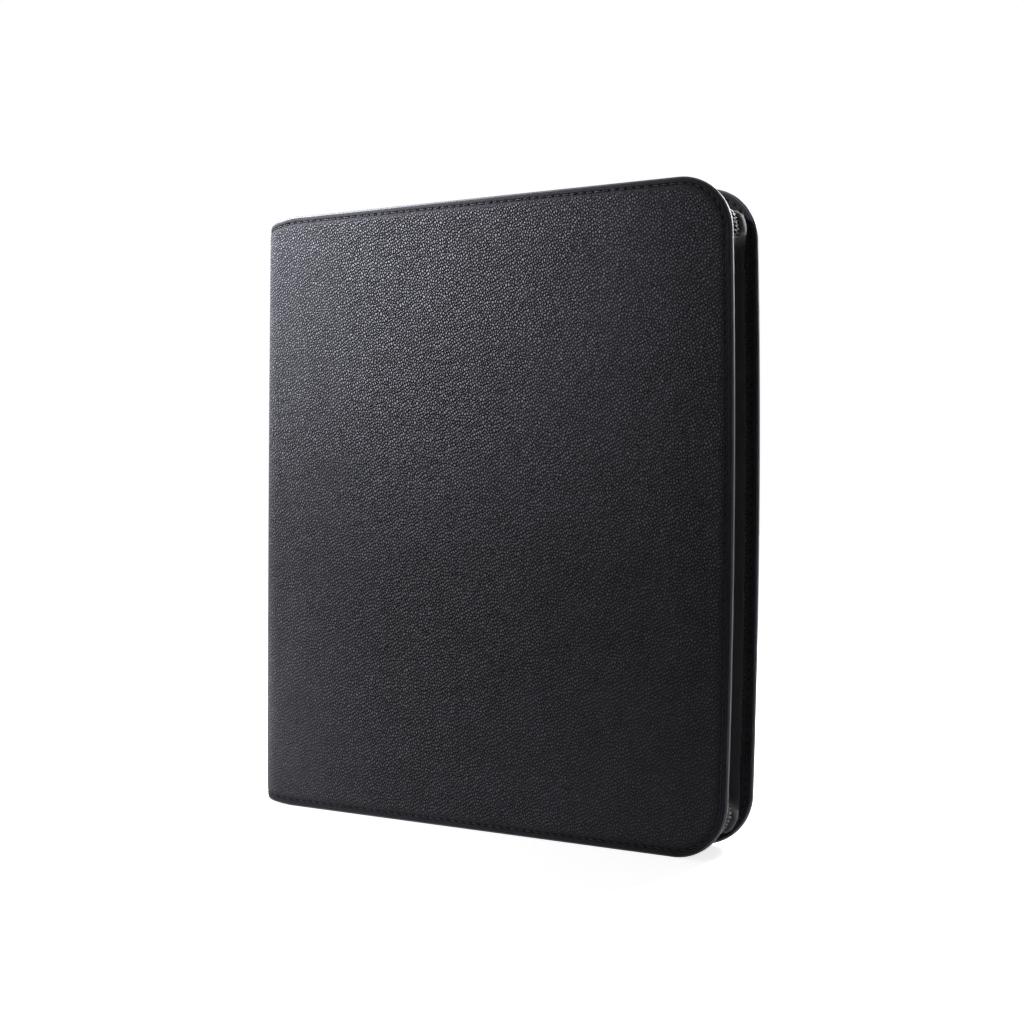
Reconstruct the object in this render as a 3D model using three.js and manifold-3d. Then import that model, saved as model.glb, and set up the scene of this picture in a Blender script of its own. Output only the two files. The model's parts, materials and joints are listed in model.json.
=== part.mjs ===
// A zip-around leather document folder, closed and standing on its bottom edges, in millimetres.
// X runs from the spine (low X) to the fore edge, Y through the thickness (front cover at low Y), Z up.
// The origin is the middle of the footprint, on the surface that the folder stands on.
import * as THREE from 'three';
import { mergeVertices } from 'three/addons/utils/BufferGeometryUtils.js';
import Module from 'manifold-3d';

const wasm = await Module();
wasm.setup();

// The case: outer sizes with the covers flat, and how far each padded cover swells
const caseHeight = 340;
const caseWidth = 292;
const caseThickness = 38;
const cornerRadius = 28;
const coverCrown = 1;
const spineRadius = 12;
const leatherThickness = 1.2;
const spineLeatherThickness = 1.6;

// The layers of a cover, from the turned leather edge to the lining
const coverEdgeThickness = 3;
const edgeRounding = 0.6;
const stitchBand = 6;
const crownRamp = 10;
const turnedBorder = 14;
const hingeBorder = 8;
const paddingThickness = 1.8;
const tapeThickness = 0.8;
const liningThickness = 0.8;
const layerClearance = 0.3;
const creaseClearance = 0.5;

// The zip: where its tapes fold out of the seam, and where the coils run
const tapeFoldInset = 5;
const coilInset = 10;
const coilCornerRadius = 7;
const coilHeight = 2.2;
const coilWidth = 2.4;
const coilHalfGap = 0.8;
const tapeFlatWidth = 5.2;
const tapeStart = 17;
const coilStart = 26;
const frontCoilStart = 46;
const stopStart = 20;
const stopLength = 3;

// The zip slider, its bail and its pull
const sliderPlace = 34;
const sliderLength = 12;
const sliderWidth = 9.2;
const sliderNoseWidth = 5.6;
const sliderPlate = 1;
const sliderClearance = 0.35;
const sliderPostWidth = 1;
const sliderPostLength = 6;
const bailLength = 7;
const bailWidth = 2.4;
const bailBar = 0.9;
const bailEye = 2.15;
const pullThickness = 1;
const pullArm = 1;
const pullFrameWidth = 5.4;
const pullFrameLength = 4.6;
const pullLift = 0.95;
const pullLength = 26;
const pullTongueWidth = 5;
const pullLeatherStart = 8;
const pullLeatherWidth = 9;
const pullLeatherThickness = 2.6;
const pullLeatherMargin = 1.5;

// The spine's stiffener, lining and pen loop
const spineBoardThickness = 1.6;
const spineLiningMargin = 4;
const penLoopBore = 11.4;
const penLoopThickness = 1;
const penLoopHeight = 45;
const penLoopTabMargin = 0.5;

// The ring mechanism on the back cover's lining
const ringPlace = 34;
const ringPitch = 80;
const ringRadius = 10.5;
const ringCentreHeight = 13.2;
const wireDiameter = 2.8;
const ringTipGap = 0.3;
const ringArcEnd = -30;
const bladeTilt = 7;
const bladeWidth = 9.6;
const bladeThickness = 0.9;
const bladePivotHeight = 3.2;
const bladeRootGap = 0.3;
const bladeOverhang = 5;
const ringFootPlace = 8.1;
const channelWidth = 24;
const channelHeight = 6.8;
const channelThickness = 0.9;
const channelShoulder = 2.6;
const ringSlotWidth = 4;
const ringSlotStart = 5.6;
const rivetSpacingFromBlade = 6;
const rivetShank = 3;
const rivetHead = 6.4;
const rivetHeadHeight = 1.4;
const rivetCrown = 4;
const rivetCrownDrop = 0.2;
const rivetFoot = 7;
const rivetFootHeight = 1;
const rivetEdge = 3.6;
const leverPinDiameter = 1.8;
const leverPinHeight = 4;
const leverPinFromRivet = 8;
const leverEarLength = 3;
const leverWidth = 16;
const leverThickness = 1.2;
const leverBarrel = 4;
const leverInnerArm = 4;
const leverNeck = 3;
const leverTab = 12;
const leverRise = 35;
const ringEndPlay = 3;
const runningGap = 0.25;

// The pockets inside the front cover
const pocketThickness = 0.8;
const pocketRim = 5;
const pocketInset = 12;
const documentPocketTop = 214;
const cardPocketCount = 3;
const cardPocketWidth = 96;
const cardPocketHeight = 56;
const cardPocketStep = 15;
const cardPocketThickness = 1;
const cardPocketFromForeEdge = 30;
const cardPocketBottom = 224;

// How far a cutter runs past the solid that it cuts
const overshoot = 1;

// Fineness of round stretches
const cornerSteps = 10;
const spineSteps = 8;
const wireSides = 8;
const ringSteps = 11;
const roundSteps = 20;

// Distances from the middle plane of the case, outwards through a cover
const edgeFace = caseThickness / 2;
const crownFace = edgeFace + coverCrown;
const coverInnerFace = edgeFace - coverEdgeThickness;
const tapeFace = coverInnerFace - tapeThickness;
const liningFace = tapeFace - liningThickness;
const paddingFace = crownFace - leatherThickness;
const boardFace = paddingFace - paddingThickness;

// Places along X, measured from the spine's outer face
const spineFace = -caseWidth / 2;
const creaseX = spineFace + spineRadius;
const coverLeft = creaseX + creaseClearance;
const ringX = spineFace + ringPlace;
const sliderX = spineFace + sliderPlace;

// Materials, with colours read from the object
const coverLeather = { color: 0x2b2a2e, roughness: 0.5, metalness: 0 };
const edgeLeather = { color: 0x232226, roughness: 0.55, metalness: 0 };
const liningFabric = { color: 0x1d1d21, roughness: 0.85, metalness: 0 };
const tapeFabric = { color: 0x3a3735, roughness: 0.9, metalness: 0 };
const coilNylon = { color: 0x4a4745, roughness: 0.45, metalness: 0 };
const greyBoard = { color: 0x8a8478, roughness: 0.95, metalness: 0 };
const foam = { color: 0x9b9b98, roughness: 1, metalness: 0 };
const nickel = { color: 0xb9babd, roughness: 0.25, metalness: 1 };
const darkMetal = { color: 0x5b5a5c, roughness: 0.35, metalness: 1 };
const elastic = { color: 0x19191c, roughness: 0.9, metalness: 0 };

const folder = new THREE.Group();

// Adds one named piece to the folder
function addPiece(name, geometry, finish) {
  const mesh = new THREE.Mesh(geometry, new THREE.MeshStandardMaterial(finish));
  mesh.name = name;
  folder.add(mesh);
}

function toRadians(degrees) {
  return THREE.MathUtils.degToRad(degrees);
}

// Turns every face round if the closed surface faces inwards
function faceOutwards(geometry) {
  const position = geometry.attributes.position;
  const index = geometry.index.array;
  const a = new THREE.Vector3();
  const b = new THREE.Vector3();
  const c = new THREE.Vector3();
  let volume = 0;
  for (let i = 0; i < index.length; i += 3) {
    a.fromBufferAttribute(position, index[i]);
    b.fromBufferAttribute(position, index[i + 1]);
    c.fromBufferAttribute(position, index[i + 2]);
    volume += a.dot(b.cross(c));
  }
  if (volume < 0) {
    for (let i = 0; i < index.length; i += 3) {
      const first = index[i];
      index[i] = index[i + 2];
      index[i + 2] = first;
    }
  }
  return geometry;
}

// Triangles of a flat loop of points, wound as the loop is
function capTriangles(loop) {
  const normal = new THREE.Vector3();
  for (let i = 1; i + 1 < loop.length; i++) {
    const side = loop[i].clone().sub(loop[0]);
    normal.add(side.cross(loop[i + 1].clone().sub(loop[0])));
  }
  normal.normalize();
  const along = loop[1].clone().sub(loop[0]).normalize();
  const across = normal.clone().cross(along);
  const contour = loop.map((point) => new THREE.Vector2(point.dot(along), point.dot(across)));
  const triangles = THREE.ShapeUtils.triangulateShape(contour, []);
  return triangles.map(([i, j, k]) => {
    const turn = contour[j].clone().sub(contour[i]).cross(contour[k].clone().sub(contour[i]));
    return turn > 0 ? [i, j, k] : [i, k, j];
  });
}

// A closed solid through a row of loops that all have the same number of points
function loft(loops) {
  const count = loops[0].length;
  const last = (loops.length - 1) * count;
  const positions = loops.flat().flatMap((point) => [point.x, point.y, point.z]);
  const index = [];
  for (let i = 0; i + 1 < loops.length; i++) {
    for (let j = 0; j < count; j++) {
      const a = i * count + j;
      const b = i * count + (j + 1) % count;
      index.push(a, b, b + count);
      index.push(a, b + count, a + count);
    }
  }
  for (const [i, j, k] of capTriangles(loops[0])) {
    index.push(k, j, i);
  }
  for (const [i, j, k] of capTriangles(loops[loops.length - 1])) {
    index.push(last + i, last + j, last + k);
  }
  const geometry = new THREE.BufferGeometry();
  geometry.setAttribute('position', new THREE.Float32BufferAttribute(positions, 3));
  geometry.setIndex(index);
  return faceOutwards(geometry);
}

// A box between two corners
function block(x0, x1, y0, y1, z0, z1) {
  const geometry = new THREE.BoxGeometry(Math.abs(x1 - x0), Math.abs(y1 - y0), Math.abs(z1 - z0));
  geometry.translate((x0 + x1) / 2, (y0 + y1) / 2, (z0 + z1) / 2);
  return geometry;
}

function toSolid(geometry) {
  const bare = geometry.clone();
  bare.deleteAttribute('normal');
  bare.deleteAttribute('uv');
  const merged = mergeVertices(bare, 1e-4);
  const vertProperties = new Float32Array(merged.attributes.position.array);
  const triVerts = new Uint32Array(merged.index.array);
  return new wasm.Manifold(new wasm.Mesh({ numProp: 3, vertProperties, triVerts }));
}

function toGeometry(solid) {
  const mesh = solid.getMesh();
  const geometry = new THREE.BufferGeometry();
  geometry.setAttribute('position', new THREE.BufferAttribute(mesh.vertProperties, 3));
  geometry.setIndex(new THREE.BufferAttribute(mesh.triVerts, 1));
  return geometry;
}

// One geometry with others joined to it
function joined(base, ...others) {
  return toGeometry(others.reduce((solid, other) => solid.add(toSolid(other)), toSolid(base)));
}

// One geometry with others cut out of it
function cut(base, ...others) {
  return toGeometry(others.reduce((solid, other) => solid.subtract(toSolid(other)), toSolid(base)));
}

// A cover's outline in the XZ plane, square at the hinge side, with round fore-edge corners
function coverLoop(inset, hingeInset, y) {
  const left = coverLeft + hingeInset;
  const radius = cornerRadius - inset;
  const arcX = caseWidth / 2 - cornerRadius;
  const loop = [new THREE.Vector3(left, y, inset)];
  for (let i = 0; i <= cornerSteps; i++) {
    const angle = toRadians(-90 + (90 * i) / cornerSteps);
    const z = cornerRadius + radius * Math.sin(angle);
    loop.push(new THREE.Vector3(arcX + radius * Math.cos(angle), y, z));
  }
  for (let i = 0; i <= cornerSteps; i++) {
    const angle = toRadians((90 * i) / cornerSteps);
    const z = caseHeight - cornerRadius + radius * Math.sin(angle);
    loop.push(new THREE.Vector3(arcX + radius * Math.cos(angle), y, z));
  }
  loop.push(new THREE.Vector3(left, y, caseHeight - inset));
  return loop;
}

// A flat layer of a cover, between two distances from the middle plane
function coverLayer(side, inset, hingeInset, inner, outer) {
  return loft([
    coverLoop(inset, hingeInset, side * inner),
    coverLoop(inset, hingeInset, side * outer),
  ]);
}

// The outer leather: a crowned face, a rounded edge and a turned border round a shallow tray
function coverLeatherShell(side) {
  return loft([
    coverLoop(stitchBand + crownRamp, crownRamp, side * crownFace),
    coverLoop(stitchBand, 0, side * edgeFace),
    coverLoop(edgeRounding, 0, side * edgeFace),
    coverLoop(0, 0, side * (edgeFace - edgeRounding)),
    coverLoop(0, 0, side * (coverInnerFace + edgeRounding)),
    coverLoop(edgeRounding, 0, side * coverInnerFace),
    coverLoop(turnedBorder, hingeBorder, side * coverInnerFace),
    coverLoop(turnedBorder, hingeBorder, side * paddingFace),
  ]);
}

// A strip that runs along the top, round the fore edge and back along the bottom.
// Each section point is [inset, reach, distance], where the reach is from the edge to the arc's centre.
function edgeStrip(side, section, topStart, bottomStart) {
  const loops = [];
  const place = (x, z, distance) => new THREE.Vector3(x, side * distance, z);
  loops.push(section.map(([inset, , distance]) => {
    return place(spineFace + topStart, caseHeight - inset, distance);
  }));
  for (const corner of [1, -1]) {
    for (let i = 0; i <= cornerSteps; i++) {
      const turned = (90 * i) / cornerSteps;
      const angle = toRadians(corner === 1 ? 90 - turned : -turned);
      loops.push(section.map(([inset, reach, distance]) => {
        const radius = reach - inset;
        const arcZ = corner === 1 ? caseHeight - reach : reach;
        const x = caseWidth / 2 - reach + radius * Math.cos(angle);
        return place(x, arcZ + radius * Math.sin(angle), distance);
      }));
    }
  }
  loops.push(section.map(([inset, , distance]) => {
    return place(spineFace + bottomStart, inset, distance);
  }));
  return loft(loops);
}

// The tape: a flange in the cover's seam, a leaning web, and a flat stretch that carries the coil
function zipTape(side) {
  const seamReach = cornerRadius;
  const coilReach = coilInset + coilCornerRadius;
  const flatEnd = coilHalfGap + tapeFlatWidth;
  const lean = Math.atan2(coilInset - tapeFoldInset, coverInnerFace - flatEnd);
  const innerShift = tapeThickness / Math.cos(lean);
  const innerFold = tapeFoldInset + innerShift + tapeThickness * Math.tan(lean);
  const innerFlatEnd = flatEnd + (innerShift - tapeThickness) / Math.tan(lean);
  const flangeEnd = turnedBorder - layerClearance;
  const section = [
    [flangeEnd, seamReach, coverInnerFace],
    [tapeFoldInset, seamReach, coverInnerFace],
    [coilInset, coilReach, flatEnd],
    [coilInset, coilReach, coilHalfGap],
    [coilInset + tapeThickness, coilReach, coilHalfGap],
    [coilInset + tapeThickness, coilReach, innerFlatEnd],
    [innerFold, seamReach, tapeFace],
    [flangeEnd, seamReach, tapeFace],
  ];
  return edgeStrip(side, section, tapeStart, tapeStart);
}

// The coil: the bar that the interlocking turns fill, on the outer face of the tape's edge
function zipCoil(side, topStart) {
  const coilReach = coilInset + coilCornerRadius;
  const outerInset = coilInset - coilHeight;
  const section = [
    [coilInset, coilReach, coilHalfGap],
    [outerInset, coilReach, coilHalfGap],
    [outerInset, coilReach, coilHalfGap + coilWidth],
    [coilInset, coilReach, coilHalfGap + coilWidth],
  ];
  return edgeStrip(side, section, topStart, coilStart);
}

// A small block on the tape's edge that ends one coil
function zipStop(side, z0, z1) {
  const x = spineFace + stopStart;
  const near = side * coilHalfGap;
  const far = side * (coilHalfGap + coilWidth);
  return block(x, x + stopLength, Math.min(near, far), Math.max(near, far), z0, z1);
}

// A cover from its leather to its lining, with its half of the zip
function addCover(side, name, topCoilStart) {
  const boardInset = turnedBorder + layerClearance;
  const boardHinge = hingeBorder + layerClearance;
  const lean = (coilInset - tapeFoldInset) / (coverInnerFace - coilHalfGap - tapeFlatWidth);
  const webThrough = (tapeThickness + liningThickness) * (1 + lean);
  const liningInset = tapeFoldInset + webThrough + layerClearance;
  const layers = {
    padding: coverLayer(side, boardInset, boardHinge, boardFace, paddingFace),
    board: coverLayer(side, boardInset, boardHinge, tapeFace, boardFace),
    lining: coverLayer(side, liningInset, hingeBorder / 2, liningFace, tapeFace),
  };
  if (side > 0) {
    for (const end of [1, -1]) {
      const z = caseHeight / 2 + end * rivetZ;
      layers.padding = cut(layers.padding, boreAlongY(rivetFoot / 2 + layerClearance, z));
      layers.board = cut(layers.board, boreAlongY(rivetShank / 2 + layerClearance, z));
      layers.lining = cut(layers.lining, boreAlongY(rivetShank / 2 + layerClearance, z));
    }
  }
  addPiece(`${name}_leather`, coverLeatherShell(side), coverLeather);
  addPiece(`${name}_padding`, layers.padding, foam);
  addPiece(`${name}_board`, layers.board, greyBoard);
  addPiece(`${name}_lining`, layers.lining, liningFabric);
  addPiece(`${name}_zip_tape`, zipTape(side), tapeFabric);
  addPiece(`${name}_zip_coil`, zipCoil(side, topCoilStart), coilNylon);
}

// A round cutter along Y through the whole case, at the ring mechanism's middle line
function boreAlongY(radius, z) {
  const cutter = new THREE.CylinderGeometry(radius, radius, caseThickness * 2, roundSteps);
  cutter.translate(ringX, 0, z);
  return cutter;
}

// A profile across the spine: a flat back with a round corner at each crease
function spineLoop(depth, thickness, z) {
  const outer = [];
  const inner = [];
  const arcY = edgeFace - spineRadius;
  for (const side of [-1, 1]) {
    for (let i = 0; i <= spineSteps; i++) {
      const turned = (90 * i) / spineSteps;
      const angle = toRadians(side < 0 ? 90 - turned : turned);
      const cosine = Math.cos(angle);
      const sine = side * Math.sin(angle);
      const outerRadius = spineRadius - depth;
      const innerRadius = outerRadius - thickness;
      outer.push(new THREE.Vector3(creaseX - outerRadius * cosine, side * arcY + outerRadius * sine, z));
      inner.push(new THREE.Vector3(creaseX - innerRadius * cosine, side * arcY + innerRadius * sine, z));
    }
  }
  return [...outer, ...inner.reverse()];
}

function spineShell(depth, thickness, z0, z1) {
  return loft([spineLoop(depth, thickness, z0), spineLoop(depth, thickness, z1)]);
}

// The elastic pen loop, sewn to the spine's lining by a flat tab
function penLoop(liningX) {
  const outer = penLoopBore / 2 + penLoopThickness;
  const middle = caseHeight / 2;
  const z0 = middle - penLoopHeight / 2;
  const z1 = middle + penLoopHeight / 2;
  const x = liningX + penLoopThickness / 2 + outer;
  const tabHalf = edgeFace - spineRadius - penLoopTabMargin;
  const round = (radius, height) => {
    const geometry = new THREE.CylinderGeometry(radius, radius, height, roundSteps);
    geometry.rotateX(Math.PI / 2);
    geometry.translate(x, 0, middle);
    return geometry;
  };
  const tab = block(liningX, liningX + penLoopThickness, -tabHalf, tabHalf, z0, z1);
  const shell = joined(tab, round(outer, penLoopHeight));
  return cut(shell, round(penLoopBore / 2, penLoopHeight * 2));
}

// The ring mechanism is laid out along Z from the middle, and in height from the back cover's lining.
// It holds as many rings as leave room for the levers between the zip's tapes.
const leverReach = leverNeck + leverTab * Math.cos(toRadians(leverRise)) + leverThickness / 2;
const ringEndRoom = bladeOverhang + rivetSpacingFromBlade + leverPinFromRivet + leverReach + ringEndPlay;
const ringRoom = caseHeight - 2 * (coilInset + tapeThickness + ringEndRoom);
const ringCount = 1 + Math.floor(ringRoom / ringPitch);
const bladeHalfLength = ((ringCount - 1) * ringPitch) / 2 + bladeOverhang;
const rivetZ = bladeHalfLength + rivetSpacingFromBlade;
const leverPinZ = rivetZ + leverPinFromRivet;
const channelHalfLength = leverPinZ + leverEarLength;
const roofHalfLength = rivetZ + rivetEdge;

function aboveLining(height) {
  return liningFace - height;
}

// The pressed channel that is riveted to the cover, with a slot for each half ring
function ringChannel() {
  const half = channelWidth / 2;
  const shoulder = channelHeight - channelShoulder;
  const t = channelThickness;
  const outline = [
    [-half, 0],
    [-half, shoulder],
    [-half + channelShoulder, channelHeight],
    [half - channelShoulder, channelHeight],
    [half, shoulder],
    [half, 0],
    [half - t, 0],
    [half - t, shoulder - t / 2],
    [half - channelShoulder - t / 2, channelHeight - t],
    [-half + channelShoulder + t / 2, channelHeight - t],
    [-half + t, shoulder - t / 2],
    [-half + t, 0],
  ];
  const middle = caseHeight / 2;
  const loopAt = (z) => outline.map(([u, h]) => new THREE.Vector3(ringX + u, aboveLining(h), z));
  const channel = loft([loopAt(middle - channelHalfLength), loopAt(middle + channelHalfLength)]);
  const cutters = [];
  for (let i = 0; i < ringCount; i++) {
    const z = middle + (i - (ringCount - 1) / 2) * ringPitch;
    for (const side of [-1, 1]) {
      const near = ringX + side * ringSlotStart;
      const far = ringX + side * (half + overshoot);
      const top = aboveLining(channelHeight + overshoot);
      const bottom = aboveLining(bladePivotHeight - bladeThickness);
      cutters.push(block(near, far, top, bottom, z - ringSlotWidth / 2, z + ringSlotWidth / 2));
    }
  }
  for (const end of [-1, 1]) {
    const z = middle + end * rivetZ;
    cutters.push(boreAlongY(rivetShank / 2 + layerClearance, z));
    const roofEnd = middle + end * roofHalfLength;
    const past = middle + end * (channelHalfLength + overshoot);
    const earTop = aboveLining(leverPinHeight + leverPinDiameter);
    const above = aboveLining(channelHeight + overshoot);
    cutters.push(block(ringX - half - overshoot, ringX + half + overshoot, above, earTop, roofEnd, past));
    cutters.push(leverCylinder(leverPinDiameter / 2 + runningGap, channelWidth * 2, end));
  }
  return cut(channel, ...cutters);
}

// A cylinder on a lever's pivot line, which runs along X at one end of the channel
function leverCylinder(radius, length, end) {
  const geometry = new THREE.CylinderGeometry(radius, radius, length, roundSteps);
  geometry.rotateZ(Math.PI / 2);
  geometry.translate(ringX, aboveLining(leverPinHeight), caseHeight / 2 + end * leverPinZ);
  return geometry;
}

// The lever: a barrel on its pin, a short arm towards the blades and a raised thumb tab
function ringLever(end) {
  const half = leverThickness / 2;
  const rise = toRadians(leverRise);
  const tipZ = leverNeck + leverTab * Math.cos(rise);
  const tipH = leverTab * Math.sin(rise);
  const outline = [
    [-leverInnerArm, -half],
    [leverNeck + half * Math.tan(rise / 2), -half],
    [tipZ + half * Math.sin(rise), tipH - half * Math.cos(rise)],
    [tipZ - half * Math.sin(rise), tipH + half * Math.cos(rise)],
    [leverNeck - half * Math.tan(rise / 2), half],
    [-leverInnerArm, half],
  ];
  const z = caseHeight / 2 + end * leverPinZ;
  const loopAt = (x) => outline.map(([along, height]) => {
    return new THREE.Vector3(x, aboveLining(leverPinHeight + height), z + end * along);
  });
  const tongue = loft([loopAt(ringX - leverWidth / 2), loopAt(ringX + leverWidth / 2)]);
  const barrel = leverCylinder(leverBarrel / 2, leverWidth, end);
  const bore = leverCylinder(leverPinDiameter / 2 + runningGap, leverWidth * 2, end);
  return cut(joined(tongue, barrel), bore);
}

// A rivet through the channel, the lining and the board, with its foot sunk into the padding
function ringRivet(end) {
  const roof = aboveLining(channelHeight);
  const profile = [
    new THREE.Vector2(0, roof - rivetHeadHeight),
    new THREE.Vector2(rivetCrown / 2, roof - rivetHeadHeight + rivetCrownDrop),
    new THREE.Vector2(rivetHead / 2, roof),
    new THREE.Vector2(rivetShank / 2, roof),
    new THREE.Vector2(rivetShank / 2, boardFace),
    new THREE.Vector2(rivetFoot / 2, boardFace),
    new THREE.Vector2(rivetFoot / 2, boardFace + rivetFootHeight),
    new THREE.Vector2(0, boardFace + rivetFootHeight),
  ];
  const geometry = new THREE.LatheGeometry(profile, roundSteps);
  geometry.translate(ringX, 0, caseHeight / 2 + end * rivetZ);
  const closed = mergeVertices(stripped(geometry), 1e-4);
  return faceOutwards(closed);
}

function stripped(geometry) {
  geometry.deleteAttribute('normal');
  geometry.deleteAttribute('uv');
  return geometry;
}

// A blade, seen from the channel's end, is a flat bar that rises from the middle line
function ringBlade(side) {
  const tilt = toRadians(bladeTilt);
  const loopAt = (z) => {
    const corners = [
      [bladeRootGap, -bladeThickness / 2],
      [bladeWidth, -bladeThickness / 2],
      [bladeWidth, bladeThickness / 2],
      [bladeRootGap, bladeThickness / 2],
    ];
    return corners.map(([along, across]) => {
      const u = along * Math.cos(tilt) - across * Math.sin(tilt);
      const h = bladePivotHeight + along * Math.sin(tilt) + across * Math.cos(tilt);
      return new THREE.Vector3(ringX + side * u, aboveLining(h), z);
    });
  };
  const middle = caseHeight / 2;
  return loft([loopAt(middle - bladeHalfLength), loopAt(middle + bladeHalfLength)]);
}

// A half ring: wire bent from the tip on the middle line round to a foot square on its blade
function halfRing(side, z) {
  const tilt = toRadians(bladeTilt);
  const path = [];
  const tipAngle = 90 - THREE.MathUtils.radToDeg(ringTipGap / 2 / ringRadius);
  for (let i = 0; i <= ringSteps; i++) {
    const angle = toRadians(tipAngle + ((ringArcEnd - tipAngle) * i) / ringSteps);
    const u = ringRadius * Math.cos(angle);
    const h = ringCentreHeight + ringRadius * Math.sin(angle);
    path.push({ u, h, heading: i === 0 ? 0 : angle - Math.PI / 2 });
  }
  const footRise = bladeThickness / 2 + layerClearance;
  const footU = ringFootPlace * Math.cos(tilt) - footRise * Math.sin(tilt);
  const footH = bladePivotHeight + ringFootPlace * Math.sin(tilt) + footRise * Math.cos(tilt);
  path.push({ u: footU, h: footH, heading: tilt - Math.PI / 2 });
  const radius = wireDiameter / 2;
  return loft(path.map(({ u, h, heading }) => {
    const section = [];
    for (let k = 0; k < wireSides; k++) {
      const turn = (2 * Math.PI * (k + 0.5)) / wireSides;
      const across = radius * Math.cos(turn);
      const sectionU = u - across * Math.sin(heading);
      const sectionH = h + across * Math.cos(heading);
      const x = ringX + side * sectionU;
      section.push(new THREE.Vector3(x, aboveLining(sectionH), z + radius * Math.sin(turn)));
    }
    return section;
  }));
}

// The slider runs on the top stretch of the zip, where the tapes lie level
function zipSlider() {
  const zOf = (inset) => caseHeight - inset;
  const channelTop = coilInset - coilHeight - sliderClearance;
  const channelBottom = coilInset + tapeThickness + sliderClearance;
  const half = sliderLength / 2;
  const wide = sliderWidth / 2;
  const nose = sliderNoseWidth / 2;
  const shield = new THREE.Shape([
    new THREE.Vector2(-half, -nose),
    new THREE.Vector2(-half / 2, -wide),
    new THREE.Vector2(half, -wide),
    new THREE.Vector2(half, wide),
    new THREE.Vector2(-half / 2, wide),
    new THREE.Vector2(-half, nose),
  ]);
  const plate = (fromInset) => {
    const geometry = new THREE.ExtrudeGeometry(shield, { depth: sliderPlate, bevelEnabled: false });
    geometry.translate(sliderX, 0, zOf(fromInset));
    return geometry;
  };
  const overlap = sliderPlate / 2;
  const flangeInner = coilHalfGap + coilWidth + sliderClearance;
  const post = block(
    sliderX - sliderPostLength / 2, sliderX + sliderPostLength / 2,
    -sliderPostWidth / 2, sliderPostWidth / 2,
    zOf(channelBottom + overlap), zOf(channelTop - overlap),
  );
  const flanges = [-1, 1].map((side) => block(
    sliderX - half / 2, sliderX + half,
    side * flangeInner, side * wide,
    zOf(coilInset - sliderClearance), zOf(channelTop - overlap),
  ));
  const roof = channelTop - sliderPlate;
  const bail = cut(
    block(
      sliderX - bailLength / 2, sliderX + bailLength / 2, -bailWidth / 2, bailWidth / 2,
      zOf(roof + overlap), zOf(roof - bailEye - bailBar),
    ),
    block(
      sliderX - bailLength / 2 + bailBar, sliderX + bailLength / 2 - bailBar, -bailWidth, bailWidth,
      zOf(roof), zOf(roof - bailEye),
    ),
  );
  return joined(plate(channelTop), plate(channelBottom + sliderPlate), post, ...flanges, bail);
}

// The height of the pull's pivot line, under the bail and above the slider's plate
function pullPivotZ() {
  const roof = coilInset - coilHeight - sliderClearance - sliderPlate;
  return caseHeight - roof + pullLift;
}

// The metal pull: a frame hooked through the bail, and a tongue that carries the leather
function pullTongue() {
  const z0 = pullPivotZ() - pullThickness / 2;
  const z1 = z0 + pullThickness;
  const start = sliderX - pullArm / 2;
  const frameEnd = sliderX + pullFrameLength + pullArm;
  const wide = pullFrameWidth / 2;
  const frame = cut(
    block(start, frameEnd, -wide, wide, z0, z1),
    block(
      start + pullArm, frameEnd - pullArm, -wide + pullArm, wide - pullArm,
      z0 - overshoot, z1 + overshoot,
    ),
  );
  const tongueEnd = sliderX + pullLength - pullLeatherMargin;
  const halfTongue = pullTongueWidth / 2;
  return joined(frame, block(frameEnd - pullArm / 2, tongueEnd, -halfTongue, halfTongue, z0, z1));
}

// The leather sleeve round the tongue, open towards the frame
function pullLeather() {
  const z = pullPivotZ();
  const wide = pullLeatherWidth / 2;
  const thick = pullLeatherThickness / 2;
  const slotWide = pullTongueWidth / 2 + runningGap;
  const slotThick = pullThickness / 2 + runningGap;
  const start = sliderX + pullLeatherStart;
  const end = sliderX + pullLength;
  const slotEnd = end - pullLeatherMargin + runningGap;
  return cut(
    block(start, end, -wide, wide, z - thick, z + thick),
    block(start - overshoot, slotEnd, -slotWide, slotWide, z - slotThick, z + slotThick),
  );
}

// A full-width pocket for loose sheets, open at its top, on the front cover's lining
function documentPocket() {
  const x0 = coverLeft + pocketInset;
  const x1 = caseWidth / 2 - pocketInset - cornerRadius / 2;
  const z0 = pocketInset + cornerRadius / 2;
  const y0 = -liningFace;
  const y1 = y0 + 2 * pocketThickness;
  const pocket = block(x0, x1, y0, y1, z0, documentPocketTop);
  const mouth = block(
    x0 + pocketRim, x1 - pocketRim, y0 - overshoot, y0 + pocketThickness,
    z0 + pocketRim, documentPocketTop + overshoot,
  );
  return cut(pocket, mouth);
}

// Card pockets, each a step lower and one layer nearer the reader
function addCardPockets() {
  const x1 = caseWidth / 2 - cardPocketFromForeEdge;
  const x0 = x1 - cardPocketWidth;
  for (let i = 0; i < cardPocketCount; i++) {
    const y0 = -liningFace + i * (cardPocketThickness + layerClearance);
    const z0 = cardPocketBottom + (cardPocketCount - 1 - i) * cardPocketStep;
    const pocket = block(x0, x1, y0, y0 + cardPocketThickness, z0, z0 + cardPocketHeight);
    addPiece(`card_pocket_${i + 1}`, pocket, edgeLeather);
  }
}

// The two covers
addCover(1, 'back', coilStart);
addCover(-1, 'front', frontCoilStart);

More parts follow.
